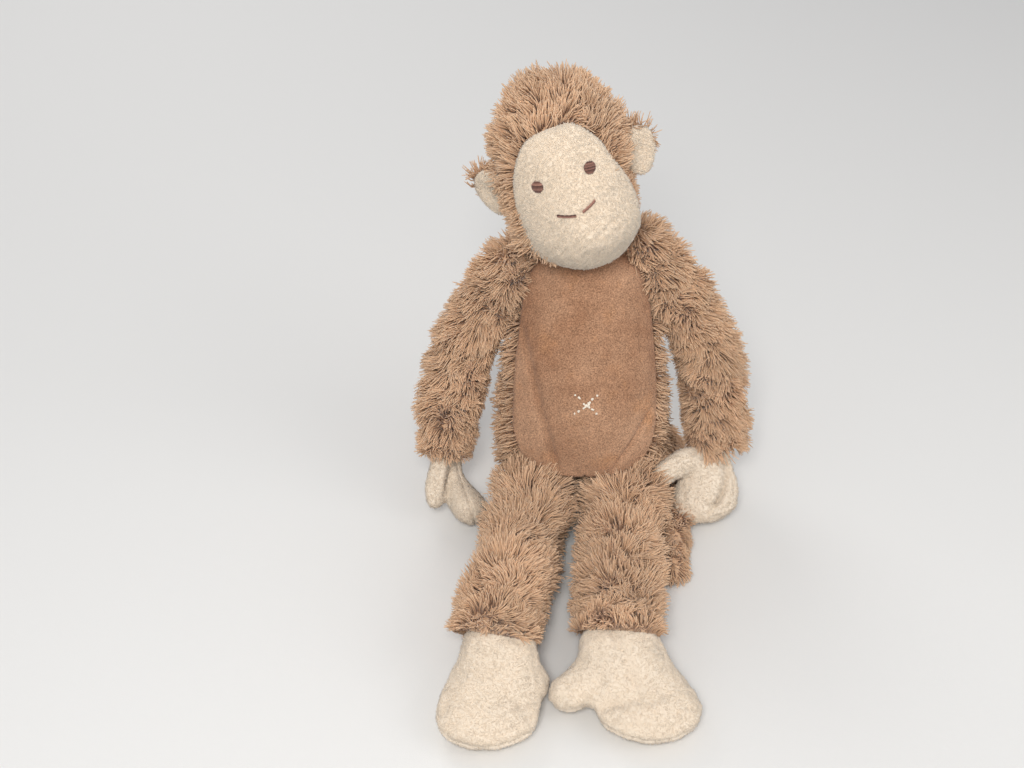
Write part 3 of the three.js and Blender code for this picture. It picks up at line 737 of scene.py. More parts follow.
def arm_shape(word):
    """A tube from the shoulder's ball through the elbow and the wrist, and a little further."""
    root = shoulder * mirror[word]
    start = unit(np.array([0.5, -0.06, -0.86]) * mirror[word])
    beyond = wrists[word] + wrist_ahead(word) * past_wrist
    line = [root - start * arm_radius, root, elbows[word], wrists[word], beyond]
    sizes = [arm_radius, arm_radius, 17.5, 18, 17.5, 17]
    return {"points": line, "widths": sizes, "depths": sizes, "caps": [arm_radius, 6], "across": (0, 1, 0)}


def near_torso(root):
    """Shorter strands on the arm's side that faces the body, and above the wrist, more so on the right
    arm."""
    x, _, z = root.T
    middle = np.interp(z, [31, 79, 121], [68, 59, 36])
    wrist = ramp(z, 50, 36) * np.where(x < 0, 0.4, 0.1)
    return np.clip(1 - 0.55 * (middle - 2 - np.abs(x)) / 9, 0.45, 1) * (1 - wrist)


for number, word in enumerate(words):
    sleeve = cupped_skin(arm_shape(word), past_wrist, arm_backing, cup_depth=10, lay=(0.6, 0.9, 0.9, 0.9))
    grow_fur(f"{word}_arm_fur", sleeve, f"{word}_arm", [f"{word}_arm_sleeve"], count=11200, length=10.2,
             width=0.33, comb=0.7, shorten=near_torso, seed=20 + 10 * number)

# %% Sleeves of the legs
hip = np.array([22.0, -38.0, 20.0])
leg_radius = 19.2
past_ankle = 22
cloth_clear = 1.0
ankles = {"left": np.array([13.0, -149.0, 19.0]), "right": np.array([-42.0, -151.0, 19.0])}
foot_yaw = {"left": math.radians(8), "right": math.radians(-2)}
leg_shift = {"left": np.array([-1.5, 0, 0]), "right": np.array([-3.5, 0, 0])}


def leg_shape(word):
    """A tube from the hip's ball to the ankle and a little further, where it turns towards the foot."""
    root = hip * mirror[word]
    end = ankles[word] + leg_shift[word]
    start = unit(end - root)
    ahead = unit(np.array([math.sin(foot_yaw[word]), -math.cos(foot_yaw[word]), 0]) + start)
    line = [root - start * leg_radius, root, (root + end) / 2, end, end + ahead * past_ankle]
    widths = [leg_radius, leg_radius, 20, 20.4, 20.4, 20.4]
    depths = [leg_radius, leg_radius, 20, 20, 20, 19.5]
    return {"points": line, "widths": widths, "depths": depths, "caps": [leg_radius, 6], "across": (1, 0, 0)}


def near_ends(root):
    """Longer strands on top of the hip, and shorter ones just before the ankle, most of all low on its
    sides."""
    _, y, z = root.T
    hip_top = ramp(y, -78, -58) * ramp(z, 14, 22)
    return 1 + 0.3 * hip_top - ramp(y, -110, -136) * np.interp(z, [12, 30], [0.65, 0.2])


for number, word in enumerate(words):
    sleeve = cupped_skin(leg_shape(word), past_ankle + 9, leg_backing, cup_depth=16, slant=10.0, flare=5.0,
                         lay=(-0.2, -0.6, -0.8, -0.8, -0.7, -0.55, -0.3, 0.5))
    sleeve["points"][:, 2] = np.maximum(sleeve["points"][:, 2], cloth_clear)
    grow_fur(f"{word}_leg_fur", sleeve, f"{word}_leg", [f"{word}_leg_sleeve"], count=11500, length=10.5,
             width=0.33, comb=0.85, shorten=near_ends, seed=40 + 10 * number)

# %% [markdown]
# ## Tail
# The tail is the slimmest sleeve. It leaves the back near the floor, comes round the side of the seat and
# lies beside the leg. A bent straight tube would kink there, so its line has more points than a limb's, and
# its fur is shorter and combed flatter.

# %% Tail
tail_root = np.array([6.0, 17.0, 11.0])
tail_radius = 7.4
tail_start = unit(np.array([0.9, 0.43, -0.03]))
tail_bends = np.array([[0, 0, 0], [19, 9, -1], [35, 2, -2.8], [44, -18, -3.2], [44.8, -45, -3.2],
                       [42.7, -66, -3.2], [38.9, -90, -3.2], [36.9, -111, -3.2]])
tail_line = np.vstack([tail_root - tail_start * tail_radius, tail_root + tail_bends])
tail_sizes = [tail_radius] * 5
tail_shape = {"points": tail_line, "widths": tail_sizes, "depths": tail_sizes,
              "caps": [tail_radius, tail_radius], "across": (0, 0, 1)}
tail_skin = closed_skin(tail_shape, inset=3.5, rings=70, around=28)
grow_fur("tail_fur", tail_skin, "tail", ["tail_sleeve"], count=5200, length=6.5, width=0.31, comb=0.9,
         shorten=None, seed=60)

# %% [markdown]
# ## Torso
# The back is one shaggy skin that runs all the way round under the belly panel. Where the arms, the legs
# and the head sit in it the skin is pressed in, so that each can turn in its own hollow. The belly is a
# velour panel that lies on the front of that skin: its edge is turned in and vanishes under the fur.

# %% Hollows in the torso
torso_shape = {
    "points": [(0, -14, -8), (0, -14, 30), (0, -8, 70), (0, 0, 105), (0, 4, 141)],
    "widths": [41, 46, 45, 40.5, 35, 21],
    "depths": [35, 38, 39, 36, 29, 18],
    "caps": [20, 15],
    "across": (1, 0, 0),
}
neck = np.array([0.0, 5.0, 122.0])
neck_radius = 22.0
head_middle = np.array([-11.0, 1.0, 182.0])
torso_axis = np.array([0.0, -4.0, 0.0])


def pressed_in(points, inward, middle, radius):
    """Points inside a ball slide along their inward direction until they leave it on the far side."""
    arm = points - middle
    along = np.einsum("ij,ij->i", arm, inward)
    inside = radius**2 - np.einsum("ij,ij->i", arm, arm)
    slide = np.where(inside > 0, -along + np.sqrt(np.maximum(along**2 + inside, 0)), 0)
    return points + inward * slide[:, None]


def with_arm_hollows(points, radius):
    """Points pressed level towards the torso's axis, out of the balls that the shoulders turn in."""
    for word in words:
        inward = unit(torso_axis + points * [0, 0, 1] - points)
        points = pressed_in(points, inward, shoulder * mirror[word], radius)
    return points


def lap_line(height):
    """How far forward the torso may reach at a height: the legs lie in the lap below the belly."""
    return np.interp(height, [22, 46], [-17, -60])


# %% The torso's skin
neck_plug = ball_shape(neck + [0, 3.5, 0], neck_radius - 3.8)
left_hump, right_hump = ball_shape((26, 9, 132), 11.0), ball_shape((-24, 9, 128), 10.0)
torso_forms = [closed_skin(torso_shape, backing_depth, rings=60, around=64)]
torso_forms += [closed_skin(ball, 0, rings=24, around=32) for ball in (neck_plug, left_hump, right_hump)]
torso_points, torso_quads = fused(torso_forms, voxel=1.8, rounds=8)
torso_triangles = halved(torso_points, torso_quads)
torso_points = with_arm_hollows(torso_points, arm_radius - backing_depth + 1)
torso_points[:, 1] = np.maximum(torso_points[:, 1], lap_line(torso_points[:, 2]))
torso_points[:, 2] = np.maximum(torso_points[:, 2], cloth_clear)
shoulder_top = ramp(np.abs(torso_points[:, 0]), 14, 18) * ramp(torso_points[:, 2], 122, 127)
torso_skin = {
    "points": torso_points,
    "triangles": torso_triangles,
    "flow": 0.5 * down + np.tanh(torso_points / 9) * [0.9, 0, 0],
    "crowd": 1 + 3.5 * shoulder_top,
}
print("torso skin", len(torso_triangles), "triangles")

# %% Where the belly covers the torso
belly_outline = np.array([[0, 144], [21, 139], [30.5, 122], [35, 98],
                          [37, 72], [36.5, 53], [31, 41], [0, 33]], float)


def outline_half_width(outline, height):
    """Half the width of an outline at a height, between its lowest and highest point."""
    line = path_through(np.column_stack([outline, 0 * outline[:, 0]]), 40)[0]
    order = np.argsort(line[:, 1])
    return np.interp(height, line[order, 1], line[order, 0], left=0, right=0)


def covered(points, outlines, back, shrink):
    """1 where a point lies behind the two outlines as seen from the front, a little inside their edge."""
    halves = [outline_half_width(outline, points[:, 2]) - shrink for outline in outlines]
    half = np.where(points[:, 0] < 0, *halves)
    return ((np.abs(points[:, 0]) < half) & (points[:, 1] < back)).astype(float)


belly_back = np.interp(torso_points[:, 2], [112, 130], [-7, 4])
belly_sides = (belly_outline, belly_outline)
torso_skin["bare"] = covered(torso_points * [1.14, 1, 1], belly_sides, belly_back, shrink=2.5)
print("bare under the belly", int(torso_skin["bare"].sum()), "points")


# %% The torso's fur
def near_joints(root):
    """Shorter strands in the hollows of the shoulders, under the head, beside the arms and under the seat."""
    x, _, z = root.T
    room = np.full(len(root), 1.0)
    for word in words:
        away = np.linalg.norm(root - shoulder * mirror[word], axis=1) - 15
        room = np.minimum(room, np.clip(away / 9, 0.55, 1))
    room = room + (1 - room) * 0.8 * ramp(z, 124, 130)
    under_head = (root - neck) @ unit(head_middle - neck) > 0.62 * neck_radius
    under_room = np.interp(np.linalg.norm(root - neck, axis=1), [24, 34], [0.32, 0.9])
    beside_arm = ramp(np.abs(x), 30, 38) * ramp(z, 118, 110)
    room = np.where(under_head, under_room, room * (1 - 0.3 * beside_arm))
    return np.where(z < 12, np.minimum(room, 0.6), room)


grow_fur("back_fur", torso_skin, "torso", ["back_panel"], count=10400, length=10.5, width=0.34, comb=0.6,
         shorten=near_joints, seed=70)

# %% [markdown]
# ## Panels on a form
# The belly and the face are cut from other cloth and lie on the front of a form. A panel is a grid over the
# part of the form that its outline covers: rows run along the form, columns across it, and the edge sinks
# into the seam. A second grid a few millimetres deeper closes it into a solid.


# %% A panel inside an outline
def front_table(shape):
    """Along the front line of a form: the share, and its height."""
    share = np.linspace(0, 1, 400)
    points, _ = swell(shape, share, np.full(400, 1.5 * np.pi))
    return share, points[:, 2]


def two_sheets(rows, columns):
    """Triangles of a grid of points, of a second grid behind it, and of the walls that join their rims."""
    count = rows * columns
    grid = np.arange(count).reshape(rows, columns)
    a, b, c, d = (grid[i : rows - 1 + i, j : columns - 1 + j].ravel() for i in (0, 1) for j in (0, 1))
    sheet = np.vstack([np.stack([a, b, d], 1), np.stack([a, d, c], 1)])
    rim = np.concatenate([grid[0, :-1], grid[:-1, -1], grid[-1, :0:-1], grid[:0:-1, 0]])
    onward = np.roll(rim, -1)
    walls = [np.stack([rim, rim + count, onward + count], 1), np.stack([rim, onward + count, onward], 1)]
    return np.vstack([sheet, sheet[:, ::-1] + count, *walls])


def panel_skin(shape, outlines, bottom, top, rows, columns, sink, thickness, bulge):
    """Rows at heights from bottom to top, columns from the outline of one side to that of the other, on the
    front: the angle round the form is the arc sine of the outline's half width over the form's."""
    share, height = front_table(shape)
    step = (1 - np.cos(np.pi * np.linspace(0, 1, rows))) / 2
    level = bottom + (top - bottom) * step
    row_share = np.interp(level, height, share)
    side, _ = swell(shape, row_share, np.zeros(rows))
    middle, _ = swell(shape, row_share, np.full(rows, 0.5 * np.pi))
    lateral = np.sin(np.linspace(-1, 1, columns) * np.pi / 2)
    halves = [np.maximum(outline_half_width(outline, level), 0.02)[:, None] for outline in outlines]
    half = np.where(lateral[None] < 0, *halves)
    reach = np.arcsin(np.clip(half / np.maximum(np.abs(side[:, :1] - middle[:, :1]), 1e-6), 0, 0.99))
    angle = 1.5 * np.pi + reach * lateral[None]
    front, flow = swell(shape, row_share[:, None] + 0 * angle, angle)
    inner, _ = swell(shape, row_share[:, None] + 0 * angle, angle, thickness)
    edge = np.minimum((1 - np.abs(lateral))[None] * half, np.minimum(top - level, level - bottom)[:, None])
    fall = ramp(edge, 4, 0) ** 2 * sink / thickness
    outer = bulge(front + (inner - front) * fall[..., None], edge)
    points = np.vstack([outer.reshape(-1, 3), inner.reshape(-1, 3)])
    triangles = outward(points, two_sheets(rows, columns))
    bare = np.concatenate([(edge.ravel() < 0.6).astype(float), np.ones(rows * columns)])
    flow = np.vstack([flow.reshape(-1, 3)] * 2)
    return {"points": points, "triangles": triangles, "flow": flow, "bare": bare, "along": 0.45}


def wave_over(points, length, seed):
    """The depth of a wave field over a grid of points."""
    return waves(points.reshape(-1, 3), length, seed)[:, 1].reshape(points.shape[:-1])


# %% The belly panel
def belly_bulge(points, edge):
    """Creases that run down the lower sides, and a shallow seam down the middle of the lower belly."""
    x, z = points[..., 0], points[..., 2]
    right_fold = hill(x + 31.5 - (105 - z) * 0.267, 1.8) * ramp(z, 108, 96) * 1.4
    left_fold = hill(x - 33 + (66 - z) * 0.7, 1.8) * ramp(z, 68, 62)
    crease = (right_fold + left_fold) * ramp(edge, 0, 3) * ramp(z, 36, 44)
    seam = hill(x, 0.7) * ramp(z, 70, 64)
    soft = 0.5 * wave_over(points, 30.0, 5) * ramp(edge, 0, 8)
    points = points.copy()
    points[..., 1] += 2.6 * crease + 1.1 * seam + soft
    return points


belly_skin = panel_skin(torso_shape, belly_sides, bottom=33.5, top=142, rows=84, columns=70, sink=2.2,
                        thickness=4.0, bulge=belly_bulge)
grow_terry("belly_velour", belly_skin, "torso", ["belly_panel"], count=13000, finish=belly_velour,
           length=0.75, width=0.26, lean=0.5, seed=80)

# %% [markdown]
# ## Head
# The head leans back and rolls to one side, so it is made upright in its own frame and then turned as a
# whole. It repeats the torso's recipe: a shaggy skin all round, and a terry panel for the face.

# %% The head's frame
lean, roll, turn = math.radians(-15), math.radians(-21), math.radians(4)


def turned(axis, angle):
    """The matrix that turns by an angle about the x, y or z axis."""
    c, s = math.cos(angle), math.sin(angle)
    rows = {"x": [[1, 0, 0], [0, c, -s], [0, s, c]], "y": [[c, 0, s], [0, 1, 0], [-s, 0, c]],
            "z": [[c, -s, 0], [s, c, 0], [0, 0, 1]]}
    return np.array(rows[axis])


head_turn = turned("z", turn) @ turned("y", roll) @ turned("x", lean)


def in_head(points):
    """Points of the head's frame, in the toy's frame."""
    return points @ head_turn.T + head_middle


def from_head(points):
    """Points of the toy's frame, in the head's frame."""
    return (points - head_middle) @ head_turn


def placed(skin, place):
    """A skin moved by a function of its points; its directions turn with it."""
    moved = dict(skin)
    moved["points"] = place(skin["points"])
    moved["flow"] = place(skin["flow"]) - place(np.zeros((1, 3)))
    return moved


print("head turned about its middle at", head_middle)

# %% The head's skin
head_shape = {
    "points": [(0, -7, -49), (0, -5, -22), (0, 0, 4), (0, 4, 26), (0, 4, 46.5)],
    "widths": [27, 35, 35.5, 34.5, 31, 25],
    "depths": [28, 37, 39, 39, 35, 27],
    "caps": [27, 32],
    "across": (1, 0, 0),
}
right_face = np.array([[0, 27], [14, 23], [24, 10], [28, -6],
                       [28.5, -20], [25, -36], [15, -47], [0, -51]], float)
left_face = np.array([[0, 27], [13, 24.5], [20.5, 16], [23.8, 6],
                      [26.5, -4], [27.6, -13], [27, -22], [24, -33], [18, -43], [0, -51]])
face_sides = (right_face, left_face)
face_middle = np.array([0.0, -38.0, -10.0])
neck_hollow = neck_radius + 1.6


def left_cheek(x, z):
    """1 low on the left side of the head, where the face panel wraps round the cheek, and 0 elsewhere."""
    return ramp(x, 6, 14) * ramp(z, -2, -10)


def with_neck_hollow(points, radius):
    """Points of the head's frame pressed straight up, out of the ball that the head turns on."""
    return pressed_in(points, np.tile([0, 0, 1.0], (len(points), 1)), from_head(neck), radius)


head_skin = closed_skin(head_shape, backing_depth + 3, rings=72, around=80)
head_skin["bare"] = covered(head_skin["points"] * [1.3, 1, 1.26], face_sides, back=-4, shrink=2.0)
head_skin["points"] = with_neck_hollow(head_skin["points"], neck_hollow)
x, y, z = head_skin["points"].T
head_skin["points"][:, 0] -= 2.6 * left_cheek(x, z) * ramp(y, 16, 6)
head_skin["flow"] = unit(head_skin["points"] - face_middle)
print("head skin", len(head_skin["triangles"]), "triangles")

# %% The head's fur
left_ear_front = np.array([26.0, -9.0, -2.0])


def near_neck(root):
    """Shorter strands in the hollow over the neck, beside the cheek that the face panel wraps, under the
    chin and before the left ear."""
    away = np.linalg.norm(root - neck, axis=1) - neck_hollow
    local = from_head(root)
    x, y, z = local.T
    cheek = left_cheek(x, z) * np.interp(y, [-15, -9, 6, 16], [0.72, 0.6, 0.55, 0])
    chin = 0.65 * ramp(z, -28, -36) * ramp(y, 4, -6)
    ear_gap = np.linalg.norm(local - left_ear_front, axis=1)
    room = np.where(away < 0.5, 0.25, np.clip(0.6 + away / 8, 0, 1))
    return room * (1 - np.maximum(cheek, chin)) * np.clip(0.4 + ear_gap / 18, 0, 1)


grow_fur("head_fur", placed(head_skin, in_head), "head", ["head_fur_cap"], count=11700, length=9.8,
         width=0.35, comb=0.85, shorten=near_neck, seed=90)

# %% The face panel
eye_half_spacing, eye_height, eye_radius = 12.2, 4.4, 2.55


def face_bulge(points, edge):
    """A soft muzzle round the mouth, shallow hollows for the eyes, and small lumps of loops on the lower
    face."""
    x, z = points[..., 0], points[..., 2]
    muzzle = hill(x, 18) * hill(z + 22, 15)
    hollow = hill(np.abs(x) - eye_half_spacing, 6) * hill(z - eye_height, 6)
    soft = 0.35 * wave_over(points, 24.0, 6) * ramp(edge, 0, 8)
    loops = 0.3 * wave_over(points, 3.4, 16) * np.interp(z, [-30, 5], [1, 0.3]) * ramp(edge, 0, 4)
    points = points.copy()
    points[..., 1] += 0.6 * hollow - 1.2 * muzzle + soft + loops
    return points


face_shape = dict(head_shape, widths=[23, 29, 31, 33.5, 31, 25])
face_skin = panel_skin(face_shape, face_sides, bottom=-48, top=26.6, rows=84, columns=70, sink=3.4,
                       thickness=4.0, bulge=face_bulge)
face_x, face_z = face_skin["points"][:, 0], face_skin["points"][:, 2]
eye_gap = np.hypot(np.abs(face_x) - eye_half_spacing, face_z - eye_height)
face_skin["bare"] = np.maximum(face_skin["bare"], eye_gap < eye_radius - 0.2)
grow_terry("face_terry", placed(face_skin, in_head), "head", ["face_panel"], count=31000, finish=cream_terry,
           length=1.15, width=0.34, lean=0.3, seed=100)

# %% [markdown]
# ## Embroidery
# The eyes, the mouth and the navel are sewn with thick thread. A stitch is a tube along a short line with two
# strands twisted round each other: the radius of its cross-section has two lobes that turn along the line.


# %% Threads
def thread(line, radius, twist, steps=28, around=12):
    """A twisted thread: at a distance s and an angle a the radius is r (1 + 0.18 cos 2(a - twist s)), and
    its ends are round."""
    path = path_through(line)
    total = path[2][-1]
    reach = total * (1 - np.cos(np.pi * np.arange(1, steps + 1) / (steps + 1))) / 2
    middle, ahead = along_line(path, reach)
    up = unit(np.cross(ahead, np.array([0.3, 0.2, 1.0])))
    side = np.cross(ahead, up)
    angle = 2 * np.pi * np.arange(around) / around
    missing = np.clip(np.maximum(1 - reach / radius, 1 - (total - reach) / radius), 0, 1)
    size = radius * np.sqrt(1 - missing**2)
    lobes = 1 + 0.18 * np.cos(2 * (angle[None] - twist * reach[:, None]))
    ring = up[:, None] * np.cos(angle)[None, :, None] + side[:, None] * np.sin(angle)[None, :, None]
    points = middle[:, None] + ring * (size[:, None] * lobes)[..., None]
    points = np.vstack([path[0][:1], points.reshape(-1, 3), path[0][-1:]])
    return points, outward(points, tube_triangles(steps, around))


def on_panel(skin, x, z, lift):
    """Places over a panel's front as seen from the front: the mean depth of the panel's points, weighted by
    nearness, less the lift."""
    front = skin["points"][: len(skin["points"]) // 2]
    gap = np.hypot(front[None, :, 0] - x[:, None], front[None, :, 2] - z[:, None])
    weight = hill(gap, 1.1) + 1e-12
    y = (weight * front[None, :, 1]).sum(1) / weight.sum(1)
    return np.column_stack([x, y - lift, z])


def own_tones(parts):
    """The pile vector of several threads: each has its own random tone."""
    tones = np.repeat(dice.random(len(parts)), [len(points) for points, _ in parts])
    return np.stack([0 * tones + 0.5, tones, 0 * tones + 0.5], 1)


# %% The eyes
eye_rows = np.linspace(-0.86, 0.86, 9)


def eye_threads(side):
    """Satin stitch: parallel threads across a disc, higher in its middle, with a second row across them
    below."""
    parts = []
    for slant, lift in ((0.5, 0.35), (-0.25, 0.75)):
        for offset in eye_rows:
            half = eye_radius * math.sqrt(1 - offset**2) * 1.02
            run = np.linspace(-half, half, 5)
            x = run * math.cos(slant) - offset * eye_radius * math.sin(slant)
            z = run * math.sin(slant) + offset * eye_radius * math.cos(slant)
            dome = 0.75 * (1 - (x**2 + z**2) / (eye_radius * 1.1) ** 2)
            line = on_panel(face_skin, x + side * eye_half_spacing, z + eye_height, lift + dome)
            parts.append(thread(line, radius=0.42, twist=3.0, steps=12, around=8))
    return parts


for word in words:
    parts = eye_threads(mirror[word][0])
    points, triangles = joined(parts)
    put_piece(f"{word}_eye_thread", in_head(points), triangles, brown_thread, "head", [f"{word}_eye"],
              own_tones(parts))

# %% The mouth
mouth_strokes = {"left": np.array([[2.8, -11.6], [9.8, -8.9]]),
                 "right": np.array([[-8.4, -9.6], [-0.2, -12.0]])}
for word, (start, end) in mouth_strokes.items():
    share = np.linspace(0, 1, 5)
    spots = start + (end - start) * share[:, None]
    sag = 0.8 * share * (1 - share)
    parts = []
    for row in (-0.26, 0.26):
        line = on_panel(face_skin, spots[:, 0], spots[:, 1] - sag + row, lift=0.9)
        parts.append(thread(line, radius=0.38, twist=1.6))
    points, triangles = joined(parts)
    put_piece(f"{word}_mouth_thread", in_head(points), triangles, brown_thread, "head",
              [f"{word}_mouth_stitch"], own_tones(parts))

# %% The navel: a cross of short stitches
navel_height, navel_half_width, navel_half_height = 77.0, 6.0, 5.2
stitch_starts = (-1.0, -0.72, -0.3, -0.12, 0.1, 0.42, 0.76)
stitch_sizes = (0.1, 0.16, 0.34, 0.34, 0.2, 0.16, 0.12)
parts = []
for slant in (1, -1):
    stitch_lifts = (0.3, 0.4, 0.8 + 0.2 * slant, 0.9, 0.6, 0.4, 0.3)
    for start, size, lift in zip(stitch_starts, stitch_sizes, stitch_lifts):
        share = np.linspace(start, start + size, 3)
        stray = dice.normal(0, 0.28, (2, 2)) @ np.array([[1, 0.5, 0], [0, 0.5, 1]])
        height = navel_height + slant * share * navel_half_height + stray[1]
        line = on_panel(belly_skin, share * navel_half_width + stray[0], height, lift)
        parts.append(thread(line, radius=dice.uniform(0.44, 0.62), twist=2.4, steps=12, around=10))
points, triangles = joined(parts)
put_piece("navel_thread", points, triangles, cream_thread, "torso", ["navel_stitch"])

# %% [markdown]
# ## Ears
# An ear is a round flap of two cloths: terry in front, slightly dished, and fur behind, whose long strands
# stand out past the rim. Each half is a shallow lens, so the two of them together make one soft flap.

# %% Half an ear
ear_half_width, ear_half_height, ear_thickness = 9.5, 11.0, 5.4
ear_rise, ear_dish, rim_rise = 0.6, 2.6, 0.15


def lens(side, front):
    """Half a lens, wider at its top: the height over the flap is half the thickness times the root of one
    minus the radius squared, less a dish in the middle of the front half."""
    rings, around = 22, 48
    way, dish = (-1, ear_dish) if front else (1, 0)
    radius = np.sin(np.linspace(0, 1, rings + 2)[1:-1] * np.pi / 2)[:, None]
    angle = 2 * np.pi * np.arange(around)[None] / around
    taper = 1 + 0.28 * np.sin(angle)
    x = side * ear_half_width * (1 + radius * np.cos(angle) * taper)
    z = ear_half_height * radius * np.sin(angle)
    rise = ear_thickness / 2 * np.sqrt(1 - radius**2) + ear_rise - dish * hill(radius, 0.55)
    top = np.stack([x, way * rise + 0 * x, z], -1).reshape(-1, 3)
    rim_x = side * ear_half_width * (1 + np.cos(angle) * taper)
    rim_z = ear_half_height * np.sin(angle)
    rim = np.stack([rim_x, way * rim_rise + 0 * angle, rim_z], -1).reshape(-1, 3)
    middle = [side * ear_half_width, way * (ear_thickness / 2 + ear_rise - dish), 0]
    base = [side * ear_half_width, way * rim_rise, 0]
    points = np.vstack([middle, top, rim, base])
    triangles = outward(points, tube_triangles(rings + 1, around))
    if side > 0:
        flow = unit(points * [0.06, 0, 0.03] + [0.4, 0.25, 0.6])
    else:
        flow = unit(0 * points + [0.05, 0.1, 1.0])
    bare = np.zeros(len(points))
    bare[-1] = 1
    return {"points": points, "triangles": triangles, "flow": flow, "bare": bare, "along": 0.4}


# %% Ears
ear_roots = {"left": np.array([24.0, -3.5, -6.0]), "right": np.array([-29.5, -0.5, -2.0])}
ear_sweep = {"left": math.radians(28), "right": math.radians(40)}


def ear_place(word):
    """The function that sweeps points of an ear's own frame back and puts them on the head."""
    sweep = turned("z", mirror[word][0] * ear_sweep[word])
    return lambda points: in_head(points @ sweep.T + ear_roots[word])


def near_lobe(word):
    """The function that makes strands on the lower half of an ear shorter."""
    return lambda root: np.interp(from_head(root)[:, 2] - ear_roots[word][2], [-5, 5], [0.25, 1])


for number, word in enumerate(words):
    front = placed(lens(mirror[word][0], front=True), ear_place(word))
    grow_terry(f"{word}_ear_terry", front, f"{word}_ear", [f"{word}_ear_front"], count=3600,
               finish=cream_terry, length=1.2, width=0.34, lean=0.45, seed=110 + number)
    back = placed(lens(mirror[word][0], front=False), ear_place(word))
    grow_fur(f"{word}_ear_fur", back, f"{word}_ear", [f"{word}_ear_back"], count=850, length=8.5, width=0.33,
             comb=1.1, shorten=near_lobe(word), seed=120 + 10 * number)

# %% [markdown]
# ## Hands and feet
# A hand is a mitten with a thumb, and a foot a broad flipper with a big toe: two stuffed lobes of one
# pouch. The lobes are swelling tubes fused by a voxel remesh. Sculpting could puff them up, but cloth does
# it as filling does: a slightly small pouch is simulated with pressure inside while its sewn seam stays
# where it is. The dents and the groove of the seam come afterwards, and last the pouch is cut there into
# its two panels.

# %% Blowing up a pouch
cloth_mass, cloth_stiffness, cloth_pressure, cloth_frames = 0.00001, 0.02, 4.0, 20


def blown_up(points, quads, sewn, cap):
    """Points after some frames of cloth with pressure inside and no gravity: sewn points stay, and no point
    moves further than the cap."""
    pouch = put_mesh("pouch", points, quads, floor_paint)
    held = pouch.vertex_groups.new(name="sewn")
    held.add(np.flatnonzero(sewn).tolist(), 1.0, "REPLACE")
    cloth = pouch.modifiers.new("cloth", "CLOTH")
    cloth.settings.vertex_group_mass = "sewn"
    cloth.settings.mass = cloth_mass
    for kind in ("tension", "compression", "shear"):
        setattr(cloth.settings, f"{kind}_stiffness", cloth_stiffness)
    cloth.settings.bending_stiffness = 0.1 * cloth_stiffness
    cloth.settings.use_pressure = True
    cloth.settings.uniform_pressure_force = cloth_pressure
    cloth.settings.effector_weights.gravity = 0.0
    cloth.point_cache.frame_end = cloth_frames
    for step in range(1, cloth_frames + 1):
        bpy.context.scene.frame_set(step)
    blown, _ = taken_off(pouch)
    bpy.context.scene.frame_set(1)
    move = blown - points
    far = np.linalg.norm(move, axis=1, keepdims=True)
    print("cloth moved", round(float(far.mean()), 2), "to", round(float(far.max()), 2), "mm")
    return points + move * np.minimum(1, cap / np.maximum(far, 1e-9))


def stuffed(points, quads, sewn, cap):
    points = blown_up(points, quads, sewn, cap)
    pouch = put_mesh("pouch", points, quads, floor_paint)
    rounder = pouch.modifiers.new("rounder", "SUBSURF")
    rounder.levels = rounder.render_levels = 1
    return taken_off(pouch)


# %% Cutting a pouch at its seam
def half_pouch(points, triangles, axis, level, upper):
    """The part of a closed skin above or below a level along one axis, closed again with a flat face."""
    mesh = bpy.data.meshes.new("half")
    mesh.from_pydata(points.tolist(), [], triangles.tolist())
    work = bmesh.new()
    work.from_mesh(mesh)
    normal = np.eye(3)[axis]
    everything = work.verts[:] + work.edges[:] + work.faces[:]
    bmesh.ops.bisect_plane(work, geom=everything, plane_co=(level * normal).tolist(),
                           plane_no=normal.tolist(), clear_inner=upper, clear_outer=not upper)
    bmesh.ops.holes_fill(work, edges=work.edges[:], sides=0)
    bmesh.ops.triangulate(work, faces=work.faces[:])
    work.to_mesh(mesh)
    work.free()
    co = np.zeros(len(mesh.vertices) * 3, np.float32)
    mesh.vertices.foreach_get("co", co)
    corners = np.zeros(len(mesh.polygons) * 3, np.int32)
    mesh.polygons.foreach_get("vertices", corners)
    bpy.data.meshes.remove(mesh)
    points, triangles = co.reshape(-1, 3).astype(float), corners.reshape(-1, 3)
    bare = (np.abs(points[:, axis] - level) < 0.02).astype(float)
    flow = np.tile(down, (len(points), 1))
    triangles = outward(points, triangles)
    return {"points": points, "triangles": triangles, "flow": flow, "bare": bare, "along": 0.8}


def grooved(points, triangles, axis, level, depth, width):
    """A groove along the seam: points near the level move in along their normals, most at the level
    itself."""
    near = hill(points[:, axis] - level, width)
    return points - skin_normals(points, triangles) * (depth * near)[:, None]


# %% The forms of a foot
terry_depth = 1.0
foot_seam = -10.0
foot_out = {"left": 8.0, "right": 4.0}
toe_reach = {"left": 35.0, "right": 24.5}
toe_tip = {"left": -21.0, "right": -13.0}
ankle_widths = {"left": (18.5, 20.0, 21.0), "right": (17.5, 19.0, 20.5)}


